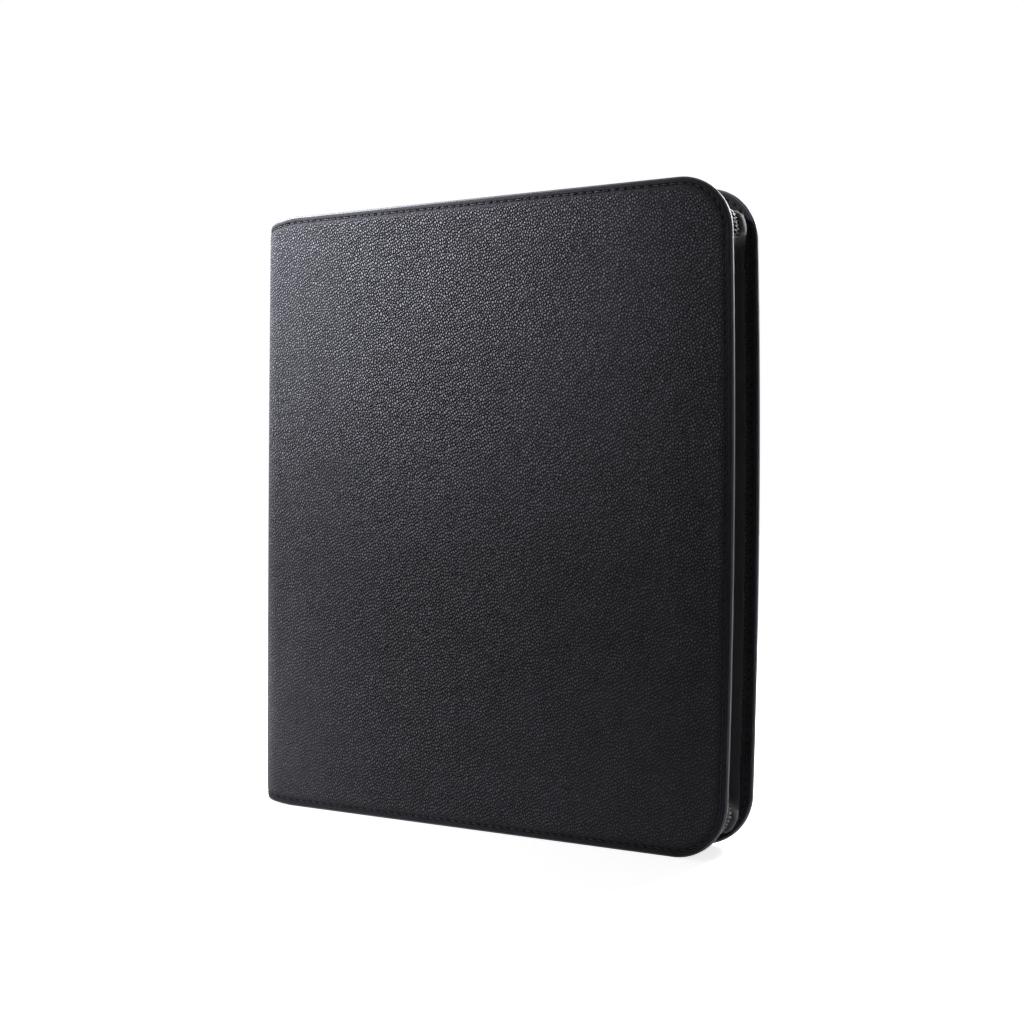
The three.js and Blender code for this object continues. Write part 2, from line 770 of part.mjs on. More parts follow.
// The spine, from its leather to its lining
const spineLiningDepth = spineLeatherThickness + spineBoardThickness + layerClearance;
const spineLiningX = spineFace + spineLiningDepth + liningThickness;
const spineFlat = edgeFace - spineRadius;
addPiece('spine_leather', spineShell(0, spineLeatherThickness, 0, caseHeight), coverLeather);
addPiece('spine_board', block(
  spineFace + spineLeatherThickness, spineFace + spineLeatherThickness + spineBoardThickness,
  -spineFlat, spineFlat, spineLiningMargin, caseHeight - spineLiningMargin,
), greyBoard);
addPiece('spine_lining', spineShell(
  spineLiningDepth, liningThickness, spineLiningMargin, caseHeight - spineLiningMargin,
), liningFabric);
addPiece('pen_loop', penLoop(spineLiningX), elastic);

// The zip's stops: one at each coil's end at the top, and one that closes the bottom end
const coilTop = caseHeight - coilInset;
addPiece('zip_top_stop_back', zipStop(1, coilTop, coilTop + coilHeight), darkMetal);
addPiece('zip_top_stop_front', zipStop(-1, coilTop, coilTop + coilHeight), darkMetal);
addPiece('zip_bottom_stop', zipStop(1, coilInset - coilHeight, coilInset), darkMetal);

// The slider and its pull
addPiece('zip_slider', zipSlider(), darkMetal);
addPiece('pull_tongue', pullTongue(), darkMetal);
addPiece('pull_leather', pullLeather(), coverLeather);

// The ring mechanism
addPiece('ring_channel', ringChannel(), nickel);
for (const [end, name] of [[1, 'top'], [-1, 'bottom']]) {
  addPiece(`ring_rivet_${name}`, ringRivet(end), nickel);
  addPiece(`lever_pin_${name}`, leverCylinder(leverPinDiameter / 2, channelWidth, end), darkMetal);
  addPiece(`ring_lever_${name}`, ringLever(end), nickel);
}
for (const [side, name] of [[-1, 'spine_side'], [1, 'fore_side']]) {
  addPiece(`blade_${name}`, ringBlade(side), nickel);
  for (let i = 0; i < ringCount; i++) {
    const z = caseHeight / 2 + (i - (ringCount - 1) / 2) * ringPitch;
    addPiece(`half_ring_${name}_${i + 1}`, halfRing(side, z), nickel);
  }
}

// The pockets inside the front cover
addPiece('document_pocket', documentPocket(), edgeLeather);
addCardPockets();

export default folder;
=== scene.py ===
# The looks of a zip-around leather document folder, closed and standing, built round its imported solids.
# Sizes are in millimetres in the solids' own frame, and become metres where a mesh is made.
import contextlib
import json
import math
import bmesh
import bpy
import numpy as np
from mathutils import Matrix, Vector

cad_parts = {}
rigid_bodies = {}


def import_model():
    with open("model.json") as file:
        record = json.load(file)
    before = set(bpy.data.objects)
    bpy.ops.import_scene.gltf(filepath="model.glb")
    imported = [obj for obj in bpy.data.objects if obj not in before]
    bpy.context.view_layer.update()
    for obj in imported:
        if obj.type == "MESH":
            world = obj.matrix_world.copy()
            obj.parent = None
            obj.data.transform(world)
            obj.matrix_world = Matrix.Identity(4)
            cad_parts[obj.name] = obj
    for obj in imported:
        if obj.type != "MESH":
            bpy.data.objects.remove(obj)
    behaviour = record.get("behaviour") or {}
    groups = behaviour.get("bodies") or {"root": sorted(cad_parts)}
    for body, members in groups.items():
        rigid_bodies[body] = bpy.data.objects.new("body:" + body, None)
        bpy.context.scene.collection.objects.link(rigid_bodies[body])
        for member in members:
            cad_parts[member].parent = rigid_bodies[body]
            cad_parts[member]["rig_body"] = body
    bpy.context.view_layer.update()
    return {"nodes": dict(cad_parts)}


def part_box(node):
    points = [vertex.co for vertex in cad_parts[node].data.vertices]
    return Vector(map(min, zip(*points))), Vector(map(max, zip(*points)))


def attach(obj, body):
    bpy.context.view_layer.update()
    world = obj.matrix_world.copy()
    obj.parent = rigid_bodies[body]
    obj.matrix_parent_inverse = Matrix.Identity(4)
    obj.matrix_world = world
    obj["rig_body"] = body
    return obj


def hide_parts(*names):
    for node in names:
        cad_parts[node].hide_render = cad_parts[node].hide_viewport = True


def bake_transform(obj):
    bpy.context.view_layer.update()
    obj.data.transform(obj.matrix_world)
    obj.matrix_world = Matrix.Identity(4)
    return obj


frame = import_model()

MM = 0.001
COVERS = {"front": -1, "back": 1}


def corners_mm(node):
    """The lowest and highest corner of a solid, in millimetres."""
    low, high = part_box(node)
    return np.array(low) / MM, np.array(high) / MM


# The case, read from the solids
spine_low, spine_high = corners_mm("spine_leather")
cover_low, cover_high = corners_mm("back_leather")
lining_low, lining_high = corners_mm("back_lining")
board_low, board_high = corners_mm("back_board")
HEIGHT = cover_high[2]
SPINE_FACE = spine_low[0]
CREASE_X = spine_high[0]
SPINE_RADIUS = CREASE_X - SPINE_FACE
EDGE_FACE = spine_high[1]
CREST = cover_high[1] - EDGE_FACE
INNER_FACE = cover_low[1]
TAPE_FACE = lining_high[1]
LINING_FACE = lining_low[1]
BOARD_FACE = board_high[1]
FORE_X = cover_high[0]
TAPE_START = corners_mm("back_zip_tape")[0][0]
CORNER = 28.0

# The hide, unrolled: s runs along it from the spine's middle, z up, h out from its outer face
SPINE_FLAT = EDGE_FACE - SPINE_RADIUS
COVER_START = SPINE_FLAT + SPINE_RADIUS * math.pi / 2
FORE = COVER_START + FORE_X - CREASE_X
SPINE_THICKNESS = 1.6
COVER_THICKNESS = 1.2
EDGE_THICKNESS = EDGE_FACE - INNER_FACE
TURNED_BORDER = 14.0
HINGE_STEP = 3.0
HINGE_BORDER_END = COVER_START + 8.0
RIM_ROUNDING = 0.8

# How the real folder departs from its flat pattern
CROWN_START = 4.5
CROWN_WIDTH = 27.0
FORE_BOW_MIDDLE = 1.1
FORE_BOW_ENDS = -1.6
FORE_BOW_START = 30.0
SPINE_BOW = 0.5
SPINE_BOW_REACH = 40.0
WAVE_HEIGHT = 0.16
SPINE_DROP_TOP = 3.6
SPINE_DROP_BOTTOM = 2.2
DROP_REACH = 45.0
SLUMP_START = 12.0
SLUMP_REACH = 26.0

# The lockstitch along the free edges
STITCH_INSET = 3.5
STITCH_PITCH = 4.7
THREAD = 0.62
BORDER_PUFF = 0.12
BORDER_FALL = 0.5
GROOVE_DEPTH = 0.3
PADDED_STEP = 0.28
HOLE_DEPTH = 0.5
PUCKER = 0.07

# Coarse mesh steps along a hide's edges, and into how many parts each kind of row splits them
STRAIGHT_STEPS = 93
CORNER_STEPS = 13
FORE_STEPS = 95
FINE = 4
MIDDLE = 2
COARSE = 1


def smoothstep(x):
    x = np.clip(x, 0, 1)
    return x * x * (3 - 2 * x)


def bell(x, width):
    return np.exp(-((x / width) ** 2))


def add_object(name, data):
    made = bpy.data.objects.new(name, data)
    bpy.context.scene.collection.objects.link(made)
    return made


@contextlib.contextmanager
def editing(mesh):
    """Opens a mesh for editing, and at the end turns its faces outward."""
    bm = bmesh.new()
    bm.from_mesh(mesh)
    yield bm
    bmesh.ops.recalc_face_normals(bm, faces=bm.faces)
    bm.to_mesh(mesh)
    bm.free()


def smooth_faces(mesh, sharp):
    """Smooth faces, parted where they meet at more than the sharp angle in degrees."""
    mesh.polygons.foreach_set("use_smooth", [True] * len(mesh.polygons))
    mesh.set_sharp_from_angle(angle=math.radians(sharp))


def rows(*columns):
    """Numbers side by side, as rows of points. A single number stands for a whole column."""
    return np.stack(np.broadcast_arrays(*columns), axis=1)


def make_object(name, points, faces, uv=None, masks=None, sharp=50):
    """A mesh object from points in millimetres, with smooth faces parted at sharp edges."""
    mesh = bpy.data.meshes.new(name)
    mesh.from_pydata((np.asarray(points, float) * MM).tolist(), [], faces)
    if uv is not None:
        layer = mesh.uv_layers.new(name="unrolled")
        loop_points = np.zeros(len(mesh.loops), np.int32)
        mesh.loops.foreach_get("vertex_index", loop_points)
        layer.data.foreach_set("uv", (np.asarray(uv)[loop_points] * MM).astype(np.float32).ravel())
    for mask, values in (masks or {}).items():
        attribute = mesh.attributes.new(mask, "FLOAT", "POINT")
        attribute.data.foreach_set("value", np.asarray(values, np.float32))
    with editing(mesh):
        pass
    smooth_faces(mesh, sharp)
    return add_object(name, mesh)


def warp(points):
    """Bows the fore edge and the spine as the real folder's are. Points are rows of x, y and z."""
    moved = np.array(points, float)
    along = np.clip((moved[:, 2] - HEIGHT / 2) / (HEIGHT / 2), -1, 1)
    swell = 1 - along**2
    start = CREASE_X + FORE_BOW_START
    across = smoothstep((moved[:, 0] - start) / (FORE_X - start))
    bow = FORE_BOW_ENDS + (FORE_BOW_MIDDLE - FORE_BOW_ENDS) * swell
    near_spine = 1 - smoothstep((moved[:, 0] - SPINE_FACE) / SPINE_BOW_REACH)
    moved[:, 0] += bow * across - SPINE_BOW * swell * near_spine
    return moved


def wrapped(side, s, z, h):
    """Where a point of the hide lies once it is wrapped round the spine's bend."""
    slump = 1 - smoothstep((s - SLUMP_START) / SLUMP_REACH)
    z = (z - SPINE_DROP_TOP * slump * smoothstep((z - HEIGHT + DROP_REACH) / DROP_REACH)
         + SPINE_DROP_BOTTOM * slump * smoothstep((DROP_REACH - z) / DROP_REACH))
    bend = np.clip((s - SPINE_FLAT) / SPINE_RADIUS, 0, math.pi / 2)
    reach = SPINE_RADIUS + h
    x = CREASE_X - reach * np.cos(bend) + np.maximum(s - COVER_START, 0)
    y = side * (np.minimum(s, SPINE_FLAT) + reach * np.sin(bend))
    return warp(rows(x, y, z))


def edge_path(inset, splits):
    """The line at one inset from the free edges: out along the bottom, up, and back along the top."""
    radius = CORNER - inset
    centre = FORE - CORNER
    out = np.linspace(0, centre, STRAIGHT_STEPS * splits + 1)
    back = out[::-1][1:]
    turn = np.linspace(0, math.pi / 2, CORNER_STEPS * splits + 1)[1:]
    rise = np.linspace(CORNER, HEIGHT - CORNER, FORE_STEPS * splits + 1)[1:]
    s = [out, centre + radius * np.sin(turn), np.full_like(rise, FORE - inset),
         centre + radius * np.cos(turn), back]
    z = [np.full_like(out, inset), CORNER - radius * np.cos(turn), rise,
         HEIGHT - CORNER + radius * np.sin(turn), np.full_like(back, HEIGHT - inset)]
    return np.concatenate(s), np.concatenate(z)


def from_edge(s, z):
    """How far each point is from the nearest free edge."""
    centre_s = FORE - CORNER
    centre_z = np.where(z < HEIGHT / 2, CORNER, HEIGHT - CORNER)
    outside = (s > centre_s) & ((z < CORNER) | (z > HEIGHT - CORNER))
    round_distance = CORNER - np.hypot(s - centre_s, z - centre_z)
    plain = np.minimum(np.minimum(z, HEIGHT - z), FORE - s)
    return np.where(outside, round_distance, plain)


def waves(s, z):
    """The slight unevenness of leather over its padding, none at the spine's middle."""
    swell = (
        np.sin(s / 23.0 + 1.3 * np.sin(z / 37.0) + 0.6)
        + np.sin(z / 19.0 + 1.1 * np.sin(s / 29.0) + 2.1)
        + 0.7 * np.sin((s + z) / 13.0 + 0.9)
        + 0.6 * np.sin((s - z) / 16.0 + 4.0)
    )
    return WAVE_HEIGHT / 2 * swell * smoothstep((s - 8) / 40)


def outer_height(s, z, inset):
    """The outer face's height: a puffed border, the stitch's groove and the padded middle's crown."""
    border = BORDER_PUFF * bell(inset - 2.1, 0.9) - BORDER_FALL * (1 - smoothstep(inset / 2.6))
    groove = -GROOVE_DEPTH * bell(inset - STITCH_INSET, 0.7)
    rise = PADDED_STEP * smoothstep((inset - 3.9) / 3)
    padded = smoothstep((s - SPINE_FLAT) / 45)
    crown = CREST * smoothstep((inset - CROWN_START) / CROWN_WIDTH) * padded
    calm = smoothstep((inset - 5) / 14)
    return border + groove + rise * smoothstep(s / 12) + crown + waves(s, z) * calm


def way_along(points):
    """How far along a line each of its points lies."""
    return np.concatenate([[0], np.cumsum(np.linalg.norm(np.diff(points, axis=0), axis=1))])


def unit(vectors):
    return vectors / np.linalg.norm(vectors, axis=-1, keepdims=True)


def stitch_dents(inset, along):
    """The needle's holes, and the slight pucker of the leather between them."""
    off = (along / STITCH_PITCH + 0.5) % 1 - 0.5
    holes = -HOLE_DEPTH * bell(off * STITCH_PITCH, 0.6) * bell(inset - STITCH_INSET, 0.5)
    pucker = -PUCKER * np.cos(2 * math.pi * off) * bell(inset - STITCH_INSET - 1.6, 1.1)
    return holes + pucker


def rim_section():
    """The turned edge from the outer face to the inner one, as inset and depth."""
    arc = np.linspace(0, math.pi / 2, 6)
    outer = [(RIM_ROUNDING * (1 - math.sin(a)), RIM_ROUNDING * (1 - math.cos(a))) for a in arc]
    inner = [(inset, EDGE_THICKNESS - depth) for inset, depth in outer[::-1]]
    return outer + [(0.0, EDGE_THICKNESS / 2)] + inner


def on_cover(s):
    """0 on the spine, 1 on the cover, and a short step between."""
    return smoothstep((s - COVER_START + HINGE_STEP) / HINGE_STEP)


def inner_depth(s, inset):
    """How deep the hide's inner face lies: thick at a cover's turned border, thin on the spine."""
    edge = smoothstep((inset - 3.9) / 0.6)
    return EDGE_THICKNESS - edge * (1 - on_cover(s)) * (EDGE_THICKNESS - SPINE_THICKNESS)


def tray_height(s, z):
    """The inner face inside the turned border, under the padding on the cover and bare on the spine."""
    past_hinge = smoothstep((s - HINGE_BORDER_END) / 2)
    crown = outer_height(s, z, from_edge(s, z))
    cover = -EDGE_THICKNESS + past_hinge * (crown - COVER_THICKNESS + EDGE_THICKNESS)
    return -SPINE_THICKNESS + on_cover(s) * (cover + SPINE_THICKNESS)


class Skin:
    """Collects a mesh's faces, and its points as rows of s, z, h, unrolled u and v, rim and border."""

    def __init__(self):
        self.points = []
        self.faces = []

    def add(self, *columns):
        first = sum(len(points) for points in self.points)
        self.points.append(rows(*columns))
        return first + np.arange(len(self.points[-1]))

    def bridge(self, one, two):
        """Faces between two rows of points, of equal length or one twice as fine as the other."""
        if len(one) == len(two):
            for i in range(len(one) - 1):
                self.faces.append((one[i], one[i + 1], two[i + 1], two[i]))
            return
        fine, coarse = (one, two) if len(one) > len(two) else (two, one)
        for i in range(len(coarse) - 1):
            a, b, c = fine[2 * i:2 * i + 3]
            self.faces.append((a, b, coarse[i]))
            self.faces.append((b, coarse[i + 1], coarse[i]))
            self.faces.append((b, c, coarse[i + 1]))

    def grid(self, inset, height, rim):
        """A sheet inside one inset, whose edge points are those of the coarse path there."""
        row_s, row_z = (row[STRAIGHT_STEPS:-STRAIGHT_STEPS] for row in edge_path(inset, COARSE))
        s = np.outer(row_s, np.linspace(0, 1, STRAIGHT_STEPS + 1)).ravel()
        z = np.repeat(row_z, STRAIGHT_STEPS + 1)
        index = self.add(s, z, height(s, z), s, z, rim, from_edge(s, z)).reshape(len(row_s), -1)
        for low, high in zip(index[:-1], index[1:]):
            self.bridge(low, high)
        return np.concatenate([index[0], index[1:, -1], index[-1][::-1][1:]])

    def ring(self, last, inset, splits, height, unrolled_inset, rim):
        """A row of points along the free edges at one inset, joined to the last one."""
        s, z = edge_path(inset, splits)
        along = way_along(rows(*edge_path(STITCH_INSET, splits)))
        row = self.add(s, z, height(s, z, along), *edge_path(unrolled_inset, splits), rim, inset)
        self.bridge(last, row)
        return row


# Insets of the fine, middling and coarse rows round a hide's outer and inner faces
OUTER_FINE = [5.8, 5.0, 4.5, 4.15, 3.85, 3.65, 3.5, 3.35, 3.15, 2.85, 2.5, 2.0, 1.5, 1.1]
OUTER_MIDDLE = [9.0, 7.0]
OUTER_COARSE = 12.0
INNER_FINE = [1.4, 2.2, 2.8, 3.1, 3.35, 3.5, 3.65, 3.9, 4.3, 4.8]
INNER_MIDDLE = [6.0, 9.0]


def build_hide(side, name):
    """One cover's hide with its half of the spine, as a closed skin."""
    skin = Skin()
    last = skin.grid(OUTER_COARSE, lambda s, z: outer_height(s, z, from_edge(s, z)), 0)
    outer = [(inset, MIDDLE) for inset in OUTER_MIDDLE] + [(inset, FINE) for inset in OUTER_FINE]
    for inset, splits in outer:
        last = skin.ring(
            last, inset, splits, lambda s, z, along: outer_height(s, z, inset) + stitch_dents(inset, along),
            inset, 0)
    rim_lift = outer_height(FORE / 2, HEIGHT / 2, RIM_ROUNDING)
    travelled = -RIM_ROUNDING
    before = (RIM_ROUNDING, 0.0)
    for inset, depth in rim_section():
        travelled += math.hypot(inset - before[0], depth - before[1])
        before = (inset, depth)
        lift = rim_lift * (1 - depth / EDGE_THICKNESS) - depth
        last = skin.ring(last, inset, FINE, lambda s, z, along: lift, -travelled, 1)
    inner = [(inset, FINE) for inset in INNER_FINE] + [(inset, MIDDLE) for inset in INNER_MIDDLE]
    for inset, splits in inner + [(TURNED_BORDER - 0.1, COARSE)]:
        last = skin.ring(
            last, inset, splits, lambda s, z, along: -inner_depth(s, inset) - stitch_dents(inset, along),
            -travelled - inset, 0.5)
    skin.bridge(last, skin.grid(TURNED_BORDER, tray_height, 0.5))
    s, z, h, u, v, rim, border = np.concatenate(skin.points).T
    masks = {"rim": rim, "border": border}
    hide = make_object(name, wrapped(side, s, z, h), skin.faces, rows(u, v), masks, sharp=60)
    close_cut(hide)
    return hide


def close_cut(hide):
    """Closes a hide where it is cut at the spine's middle."""
    with editing(hide.data) as bm:
        cut = [edge for edge in bm.edges if edge.is_boundary]
        bmesh.ops.holes_fill(bm, edges=cut, sides=0)
        for edge in cut:
            edge.smooth = False


def tube_faces(stations, sides, first):
    """Quads round one tube of rings, closed at both ends."""
    faces = []
    for i in range(stations - 1):
        for k in range(sides):
            a = first + i * sides + k
            b = first + i * sides + (k + 1) % sides
            faces.append((a, b, b + sides, a + sides))
    last = first + (stations - 1) * sides
    faces.append(tuple(first + k for k in range(sides))[::-1])
    faces.append(tuple(last + k for k in range(sides)))
    return faces


# One thread: its mesh steps, and how it slants, dips and rises between its holes
THREAD_STATIONS = 9
THREAD_SIDES = 6
THREAD_SLANT = 0.22
THREAD_DIP = 0.42
THREAD_RISE = 0.66
THREAD_WAY = np.linspace(0, 1, THREAD_STATIONS)
THREAD_ARCH = np.sin(math.pi * THREAD_WAY)
THREAD_TURN = np.linspace(0, 2 * math.pi, THREAD_SIDES, endpoint=False)


def thread_faces(count):
    """The faces of that many threads, one after the other."""
    size = THREAD_STATIONS * THREAD_SIDES
    return [face for i in range(count) for face in tube_faces(THREAD_STATIONS, THREAD_SIDES, i * size)]


def build_stitching(side, name):
    """Both faces of the lockstitch along a hide's edges: short threads that dip into their holes."""
    path = edge_path(STITCH_INSET, FINE)
    along = way_along(rows(*path))
    seat = float(outer_height(FORE / 2, STITCH_INSET, STITCH_INSET))
    radius = THREAD / 2 * (0.55 + 0.45 * THREAD_ARCH ** 0.5)
    lift = -THREAD_DIP + THREAD_RISE * THREAD_ARCH ** 0.6
    slant = THREAD_SLANT * (THREAD_WAY - 0.5) * 2
    across = slant[:, None] + radius[:, None] * np.cos(THREAD_TURN)
    points, uv = [], []
    for outward, base in ((1, seat), (-1, EDGE_THICKNESS - 0.3)):
        up = outward * ((base + lift)[:, None] + radius[:, None] * np.sin(THREAD_TURN))
        for i in range(int(along[-1] / STITCH_PITCH)):
            place = (i + THREAD_WAY) * STITCH_PITCH
            s, z = (np.interp(place, along, row)[:, None] for row in path)
            ahead, behind = (
                rows(*(np.interp(place + step, along, row) for row in path)) for step in (0.5, -0.5))
            ds, dz = unit(ahead - behind).T[:, :, None]
            points.append(wrapped(side, (s + dz * across).ravel(), (z - ds * across).ravel(), up.ravel()))
            uv.append(rows(np.repeat(place, THREAD_SIDES), np.tile(THREAD_TURN, THREAD_STATIONS)))
    return make_object(
        name, np.concatenate(points), thread_faces(len(points)), np.concatenate(uv), sharp=80)


def smooth_line(points, count):
    """A smooth curve through points, as that many points at even steps along it."""
    points = np.asarray(points, float)
    knots = way_along(points)
    slopes = np.gradient(points, knots, axis=0)
    fine = np.linspace(0, knots[-1], 20 * count)
    k = np.clip(np.searchsorted(knots, fine, side="right") - 1, 0, len(knots) - 2)
    span = (knots[k + 1] - knots[k])[:, None]
    t = ((fine - knots[k])[:, None]) / span
    curve = (
        (2 * t**3 - 3 * t**2 + 1) * points[k]
        + (t**3 - 2 * t**2 + t) * span * slopes[k]
        + (3 * t**2 - 2 * t**3) * points[k + 1]
        + (t**3 - t**2) * span * slopes[k + 1]
    )
    way = way_along(curve)
    even = np.linspace(0, way[-1], count)
    return rows(*(np.interp(even, way, column) for column in curve.T))


def thickened(line, thickness):
    """The closed outline of a flat strip that follows a line in the plane."""
    along = unit(np.gradient(line, axis=0))
    off = rows(-along[:, 1], along[:, 0]) * thickness / 2
    start = line[:1] - along[:1] * thickness / 6
    end = line[-1:] + along[-1:] * thickness / 6
    return np.concatenate([line + off, end, (line - off)[::-1], start])


def skinned(name, rings, uv=None, sharp=50):
    """A solid skinned over rows of closed sections, and closed at both ends."""
    rings = np.asarray(rings, float)
    count, sides = rings.shape[:2]
    return make_object(name, rings.reshape(-1, 3), tube_faces(count, sides, 0), uv, sharp=sharp)


# Where the zip stands proud at the fore edge's corners
PROUD_LOW = 9.0
PROUD_HIGH = 4.5
PROUD_REACH = 11.5


def edge_stations(start, inset, spacing):
    """A line at one inset round a cover: ways along, places, directions inward and corner shares."""
    radius = CORNER - inset
    straight = FORE_X - CORNER - start
    arc = radius * math.pi / 2
    rise = HEIGHT - 2 * CORNER
    total = 2 * straight + 2 * arc + rise
    way = np.linspace(0, total, int(round(total / spacing)) + 1)
    low = np.clip((way - straight) / radius, 0, math.pi / 2)
    high = np.clip((way - straight - arc - rise) / radius, 0, math.pi / 2)
    x = (start + np.minimum(way, straight) + radius * np.sin(low) - radius * (1 - np.cos(high))
         - np.maximum(way - total + straight, 0))
    z = (inset + radius * (1 - np.cos(low)) + np.clip(way - straight - arc, 0, rise)
         + radius * np.sin(high))
    inward = rows(-np.sin(low + high), np.cos(low + high))
    low_middle = straight + arc - PROUD_LOW
    high_middle = straight + arc + rise + PROUD_HIGH
    away = np.minimum(np.abs(way - low_middle), np.abs(way - high_middle))
    return way, rows(x, z), inward, smoothstep(1.25 - 1.25 * away / PROUD_REACH)


# The zip's tape. Its line is given as inset and height over the middle, from the seam to the teeth
TAPE_THICKNESS = 0.8
TAPE_POINTS = 25
TAPE_STRAIGHT = [(12, 15.6), (8.5, 15.6), (7.0, 15.2), (6.8, 14.2), (8.6, 12.4), (11.4, 10.4), (12.8, 8.2),
                 (12.5, 6.2), (11.3, 4.6), (10.4, 3.4), (9.8, 2.2)]
TAPE_CORNER = {
    "front": [(12, 15.6), (8.5, 15.6), (6.4, 15.4), (4.4, 14.9), (3.0, 14.0), (2.3, 13.0), (2.2, 12.2),
              (2.5, 11.5), (2.9, 10.9), (3.2, 10.2), (3.3, 9.4)],
    "back": [(12, 15.6), (8.5, 15.6), (6.6, 15.0), (5.4, 13.2), (4.2, 10.6), (2.6, 7.6), (1.3, 4.4),
             (0.5, 1.2), (0.5, -1.4), (1.5, -3.4), (3.0, -4.6)],
}
RIPPLE_LONG = 0.22
RIPPLE_SHORT = 0.14

# The zip's coil: where it lies, its wire's thickness and the shape of its turns
COIL_INSET = 8.9
COIL_CORNER_INSET = 2.6
COIL_CORNER_SHIFT = -7.0
COIL_PITCH = 1.4
COIL_START = -126.0
COIL_WIRE = 0.36
COIL_SIDES = 6
COIL_STEPS = 12
COIL_MIDDLE = 1.15
COIL_REACH = 1.95
COIL_HEIGHT = 0.72


def build_tape(name, side):
    """One cover's zip tape: sewn under the turned edge, sunk between the covers, proud at the corners."""
    way, place, inward, corner = edge_stations(TAPE_START, COIL_INSET, 2.0)
    plain = smooth_line(TAPE_STRAIGHT, TAPE_POINTS)
    proud = smooth_line(TAPE_CORNER[name], TAPE_POINTS)
    rings, uv = [], []
    for i in range(len(way)):
        ripple = (RIPPLE_LONG * math.sin(way[i] / 5.1 + side)
                  + RIPPLE_SHORT * math.sin(way[i] / 2.9 + 2 * side))
        line = plain + (proud - plain) * corner[i]
        sag = np.sin(np.linspace(0, math.pi, TAPE_POINTS)) ** 2
        line = line + rows(ripple * sag, 0)
        outline = thickened(line, TAPE_THICKNESS)
        off = outline[:, :1] - COIL_INSET
        spot = place[i] + inward[i] * off
        rings.append(rows(spot[:, 0], side * outline[:, 1], spot[:, 1]))
        uv.append(rows(way[i], way_along(outline)))
    rings = warp(np.concatenate(rings)).reshape(len(way), -1, 3)
    return skinned(f"{name}_tape", rings, np.concatenate(uv), sharp=60)


def build_coil(name, side):
    """One cover's half of the zip: a coil of plastic wire whose loops lie between the other's."""
    way, place, inward, corner = edge_stations(COIL_START, COIL_INSET, COIL_PITCH / COIL_STEPS)
    turn = (way / COIL_PITCH + (0.25 if side > 0 else 0.75)) * 2 * math.pi
    reach, lift = np.cos(turn), np.sin(turn)
    across = COIL_MIDDLE + COIL_REACH * np.sign(reach) * np.abs(reach) ** 0.7
    depth = COIL_HEIGHT * np.sign(lift) * np.abs(lift) ** 0.8
    inset = (COIL_CORNER_INSET - COIL_INSET) * corner + depth
    middle = COIL_CORNER_SHIFT * corner
    spot = place + inward * inset[:, None]
    line = rows(spot[:, 0], middle + side * across, spot[:, 1])
    tangent = unit(np.gradient(line, axis=0))
    forward = rows(inward[:, 1], 0, -inward[:, 0])
    first = unit(np.cross(tangent, forward))
    second = np.cross(tangent, first)
    wire = COIL_WIRE * (1 + 0.25 * bell(reach + 1, 0.5))
    angle = np.linspace(0, 2 * math.pi, COIL_SIDES, endpoint=False)
    rings = (line[:, None] + wire[:, None, None] * (
        first[:, None] * np.cos(angle)[None, :, None] + second[:, None] * np.sin(angle)[None, :, None]))
    rings = warp(rings.reshape(-1, 3)).reshape(len(way), COIL_SIDES, 3)
    return skinned(f"{name}_coil", rings, sharp=80)


# A rounded edge's steps, and how near in metres points are first joined
BEVEL_STEPS = 3
WELD = 0.00001


def rounded_copy(node, name, width, material, angle=30):
    """A piece in a solid's own shape with its edges rounded, which stands for that solid."""
    mesh = frame["nodes"][node].data.copy()
    mesh.name = name
    with editing(mesh) as bm:
        bmesh.ops.remove_doubles(bm, verts=bm.verts, dist=WELD)
        bmesh.ops.dissolve_limit(bm, angle_limit=math.radians(1), verts=bm.verts, edges=bm.edges)
        hard = [e for e in bm.edges if e.is_manifold and e.calc_face_angle() > math.radians(angle)]
        bmesh.ops.bevel(bm, geom=hard, offset=width * MM, segments=BEVEL_STEPS, profile=0.5,
                        affect="EDGES", clamp_overlap=True)
    smooth_faces(mesh, 40)
    return fit(add_object(name, mesh), material, frame["nodes"][node]["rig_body"], node)


# Mesh steps along an outline's sides and round its corners
OUTLINE_STRAIGHT = 24
OUTLINE_TURN = 8


def rounded_outline(low, high, radii, inset):
    """A closed outline moved in by an inset, with a radius for each corner, anticlockwise from low."""
    x0, z0 = low
    x1, z1 = high
    corners = [(x0, z0, 1, 1), (x1, z0, -1, 1), (x1, z1, -1, -1), (x0, z1, 1, -1)]
    points = []
    for k, (x, z, sx, sz) in enumerate(corners):
        radius = max(radii[k], inset + 0.05)
        angle = np.linspace(math.pi * (1 + k / 2), math.pi * (1.5 + k / 2), OUTLINE_TURN + 1)
        near = (radius - inset) * rows(np.cos(angle), np.sin(angle))
        points.append(near + np.array([x + sx * radius, z + sz * radius]))
    closed = []
    share = np.linspace(0, 1, OUTLINE_STRAIGHT + 1)[1:-1, None]
    for k in range(4):
        closed.append(points[k])
        closed.append(points[k][-1] * (1 - share) + points[(k + 1) % 4][0] * share)
    return np.concatenate(closed)


def build_panel(name, low, high, radii, side, profile, moved=warp):
    """A flat piece built up from outlines, each at an inset and a height over the middle."""
    rings = []
    for inset, height in profile:
        outline = rounded_outline(low, high, radii, inset)
        rings.append(rows(outline[:, 0], side * height, outline[:, 1]))
    rings = moved(np.concatenate(rings)).reshape(len(profile), -1, 3)
    return skinned(name, rings, sharp=40)


def soft_edge(face, back, seam, round_by=0.35, dent=0.22):
    """A sheet's section for build_panel: its back, a rounded edge, a seam's groove, and its face."""
    out = 1 if face > back else -1
    return [
        (round_by, back), (0.0, (face + back) / 2), (round_by * 0.3, face - out * round_by * 0.3),
        (round_by, face), (seam - 0.9, face + out * 0.08), (seam - 0.3, face - out * dent),
        (seam + 0.3, face - out * dent), (seam + 0.9, face + out * 0.05), (seam + 3.0, face),
    ]


